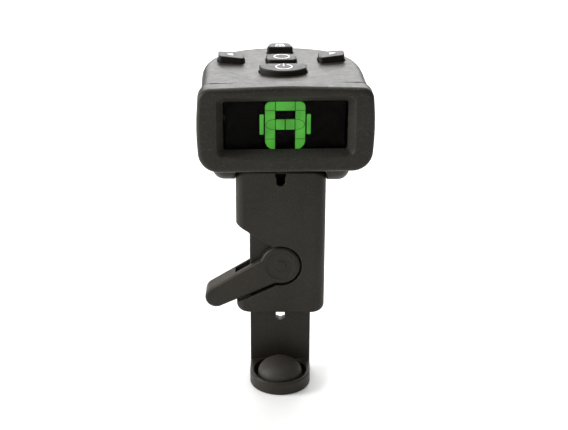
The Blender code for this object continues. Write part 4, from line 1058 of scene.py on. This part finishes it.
def turned_pieces():
    """Pin, axle, swivel screw and retaining ring, the battery cell and the sound sensor."""
    pivot = (0, 0, PIVOT_Z)
    head, shank = PIN.half, 0.7
    profile = [(0.0, PIN.back), (head - 0.3, PIN.back - 0.02), (head - 0.12, PIN.back - 0.08),
               (head, PIN.back - 0.23), (head, 8.4), (shank, 8.4), (shank, PIN.front + 0.15),
               (shank - 0.15, PIN.front), (0.0, PIN.front)]
    pin = turned("lever_pin", profile, pivot, "Y", steps=64)
    dress(soften(pin, 0.03), "clamp_body", "steel", "pivot_pin")

    radius, reach, edge = 0.9, AXLE.half, 0.2
    profile = [(0.0, -reach)] + [(radius - e, -reach + d) for e, d in quarter(edge)]
    profile += [(radius - e, reach - d) for e, d in reversed(quarter(edge))] + [(0.0, reach)]
    axle = turned("tilt_axle", profile, (0, TILT_Y, TILT_Z), "X", steps=48)
    dress(soften(axle, 0), "swivel", "steel", "hinge_axle")

    screw, ring = span("swivel_screw"), span("swivel_retainer")
    head, shank, seat = screw.half, 0.6, screw.high - 0.3
    profile = [(0.0, screw.high), (head - 0.3, screw.high), (head - 0.1, screw.high - 0.05),
               (head, screw.high - 0.15), (head, seat)]
    profile += thread(shank, seat, screw.low + 0.3) + [(shank - 0.2, screw.low), (0.0, screw.low)]
    spot = (0, TILT_Y, 0)
    bolt = turned("swivel_bolt", profile, spot, "Z", steps=56)
    cross_recess(bolt, spot, "Z", (screw.high - 0.18, screw.high + 0.5), 1.1, 0.2, WORLD)
    dress(soften(bolt, 0.03), "swivel", "steel", "swivel_screw")
    washer = drum("swivel_washer", ring.half, ring.low, ring.high, spot, "Z", steps=80)
    combine(washer, drum("washer_bore", 0.8, 40, 60, spot, "Z", steps=40))
    dress(soften(washer, 0.05), "swivel", "steel", "swivel_retainer")

    low, high, radius = CELL.low, CELL.high, CELL.half
    profile = [(0.0, high), (8.7, high), (8.85, high - 0.03), (8.95, high - 0.1), (9.0, high - 0.2),
               (radius - 0.4, high - 0.2), (radius - 0.15, high - 0.27), (radius, high - 0.5),
               (radius, low + 0.3), (radius - 0.1, low + 0.1), (radius - 0.3, low), (7.0, low),
               (6.9, low + 0.05), (0.0, low + 0.05)]
    cell = turned("battery_cell", profile, (0, CELL.y, 0), "Z", HEAD, steps=120)
    dress(soften(cell, 0), "drawer", "steel", "coin_cell")

    sensor = span("piezo_sensor", HEAD)
    step = sensor.low + 0.2
    profile = [(0.0, sensor.high), (3.0, sensor.high), (3.1, sensor.high - 0.05), (3.1, step),
               (sensor.half - 0.03, step), (sensor.half, step - 0.03), (sensor.half, sensor.low),
               (0.0, sensor.low)]
    disc = turned("sound_sensor", profile, (0, sensor.y, 0), "Z", HEAD, steps=96)
    dress(soften(disc, 0), "head", "brass", "piezo_sensor")


def finish_carried_nodes():
    """Every CAD node that still shows gets its slot's finish and softly rounded edges."""
    slots = {part["node"]: part["material_slot"] for part in frame["record"]["subparts"]}
    for name, solid in frame["nodes"].items():
        solid.data.materials.clear()
        solid.data.materials.append(FINISHES[slots[name]])
        if solid.hide_render:
            continue
        bevel(solid, CARRIED_EDGE, 2, CARRIED_ANGLE).harden_normals = True


# ---- floor, light, camera
def floor_piece():
    """A wide plain pale floor with a very slight tooth, lifted to white where the camera sees it."""
    finish, node, surface = shader("pale_floor")
    seen = node("LightPath").outputs["Is Camera Ray"]
    surface(Base_Color=(0.90, 0.90, 0.895, 1), Roughness=0.9, Specular_IOR_Level=0.0,
            Normal=bumps(node, ((noise(node, 1.5), 0.05, 0.01),)), Emission_Color=WHITE,
            Emission_Strength=remap(node, seen, 0, 1, 0, 0.10))
    floor = plate("floor", rounded_box(-2000, 2000, -1500, 3500, 100), -4.0, 0.0, "XY")
    floor.data.materials.append(finish)


def softbox(name, place, target, size, power, colour=(1, 1, 1)):
    """A rectangular soft light aimed at a target; places are in millimetres."""
    light = bpy.data.lights.new(name, "AREA")
    light.shape = "RECTANGLE"
    light.size, light.size_y = (side * MM for side in size)
    light.energy = power
    light.color = colour
    holder = bpy.data.objects.new(name, light)
    bpy.context.scene.collection.objects.link(holder)
    holder.location = [c * MM for c in place]
    aim = Vector(target) * MM - holder.location
    holder.rotation_euler = aim.to_track_quat("-Z", "Y").to_euler()


def lights():
    middle = (0, 0, 35)
    softbox("back_softbox", (0, 520, 330), middle, (520, 420), 3.6)
    softbox("top_softbox", (0, 60, 620), middle, (600, 500), 2.2)
    softbox("left_softbox", (-480, -60, 220), middle, (220, 340), 3.0)
    world = bpy.data.worlds.new("studio")
    world.use_nodes = True
    world.node_tree.nodes["Background"].inputs["Color"].default_value = (1.0, 0.99, 0.975, 1)
    world.node_tree.nodes["Background"].inputs["Strength"].default_value = 0.3
    bpy.context.scene.world = world


CAMERA_PLACE = (0.63, -212.4, 125.3)
CAMERA_ROLL = 0.005
CAMERA_LENS = 79.29


def camera():
    view = bpy.data.cameras.new("camera")
    view.sensor_width = 36
    view.lens = CAMERA_LENS
    view.clip_start = 0.01
    view.clip_end = 20
    holder = bpy.data.objects.new("camera", view)
    bpy.context.scene.collection.objects.link(holder)
    holder.matrix_world = (Matrix.Translation([c * MM for c in CAMERA_PLACE])
                           @ Matrix.Rotation(pi / 2 - VIEW_PITCH, 4, "X")
                           @ Matrix.Rotation(CAMERA_ROLL, 4, "Z"))
    scene = bpy.context.scene
    scene.camera = holder
    scene.view_settings.view_transform = "Standard"
    scene.view_settings.look = "None"


sleeve_pieces()
jaw_pieces()
lever_piece()
swivel_piece()
top_shell_piece()
bottom_shell_piece()
drawer_piece()
bezel_piece()
button_pieces()
display_pieces()
icon_pieces()
screw_pieces()
turned_pieces()
finish_carried_nodes()
floor_piece()
lights()
camera()

bpy.context.view_layer.update()
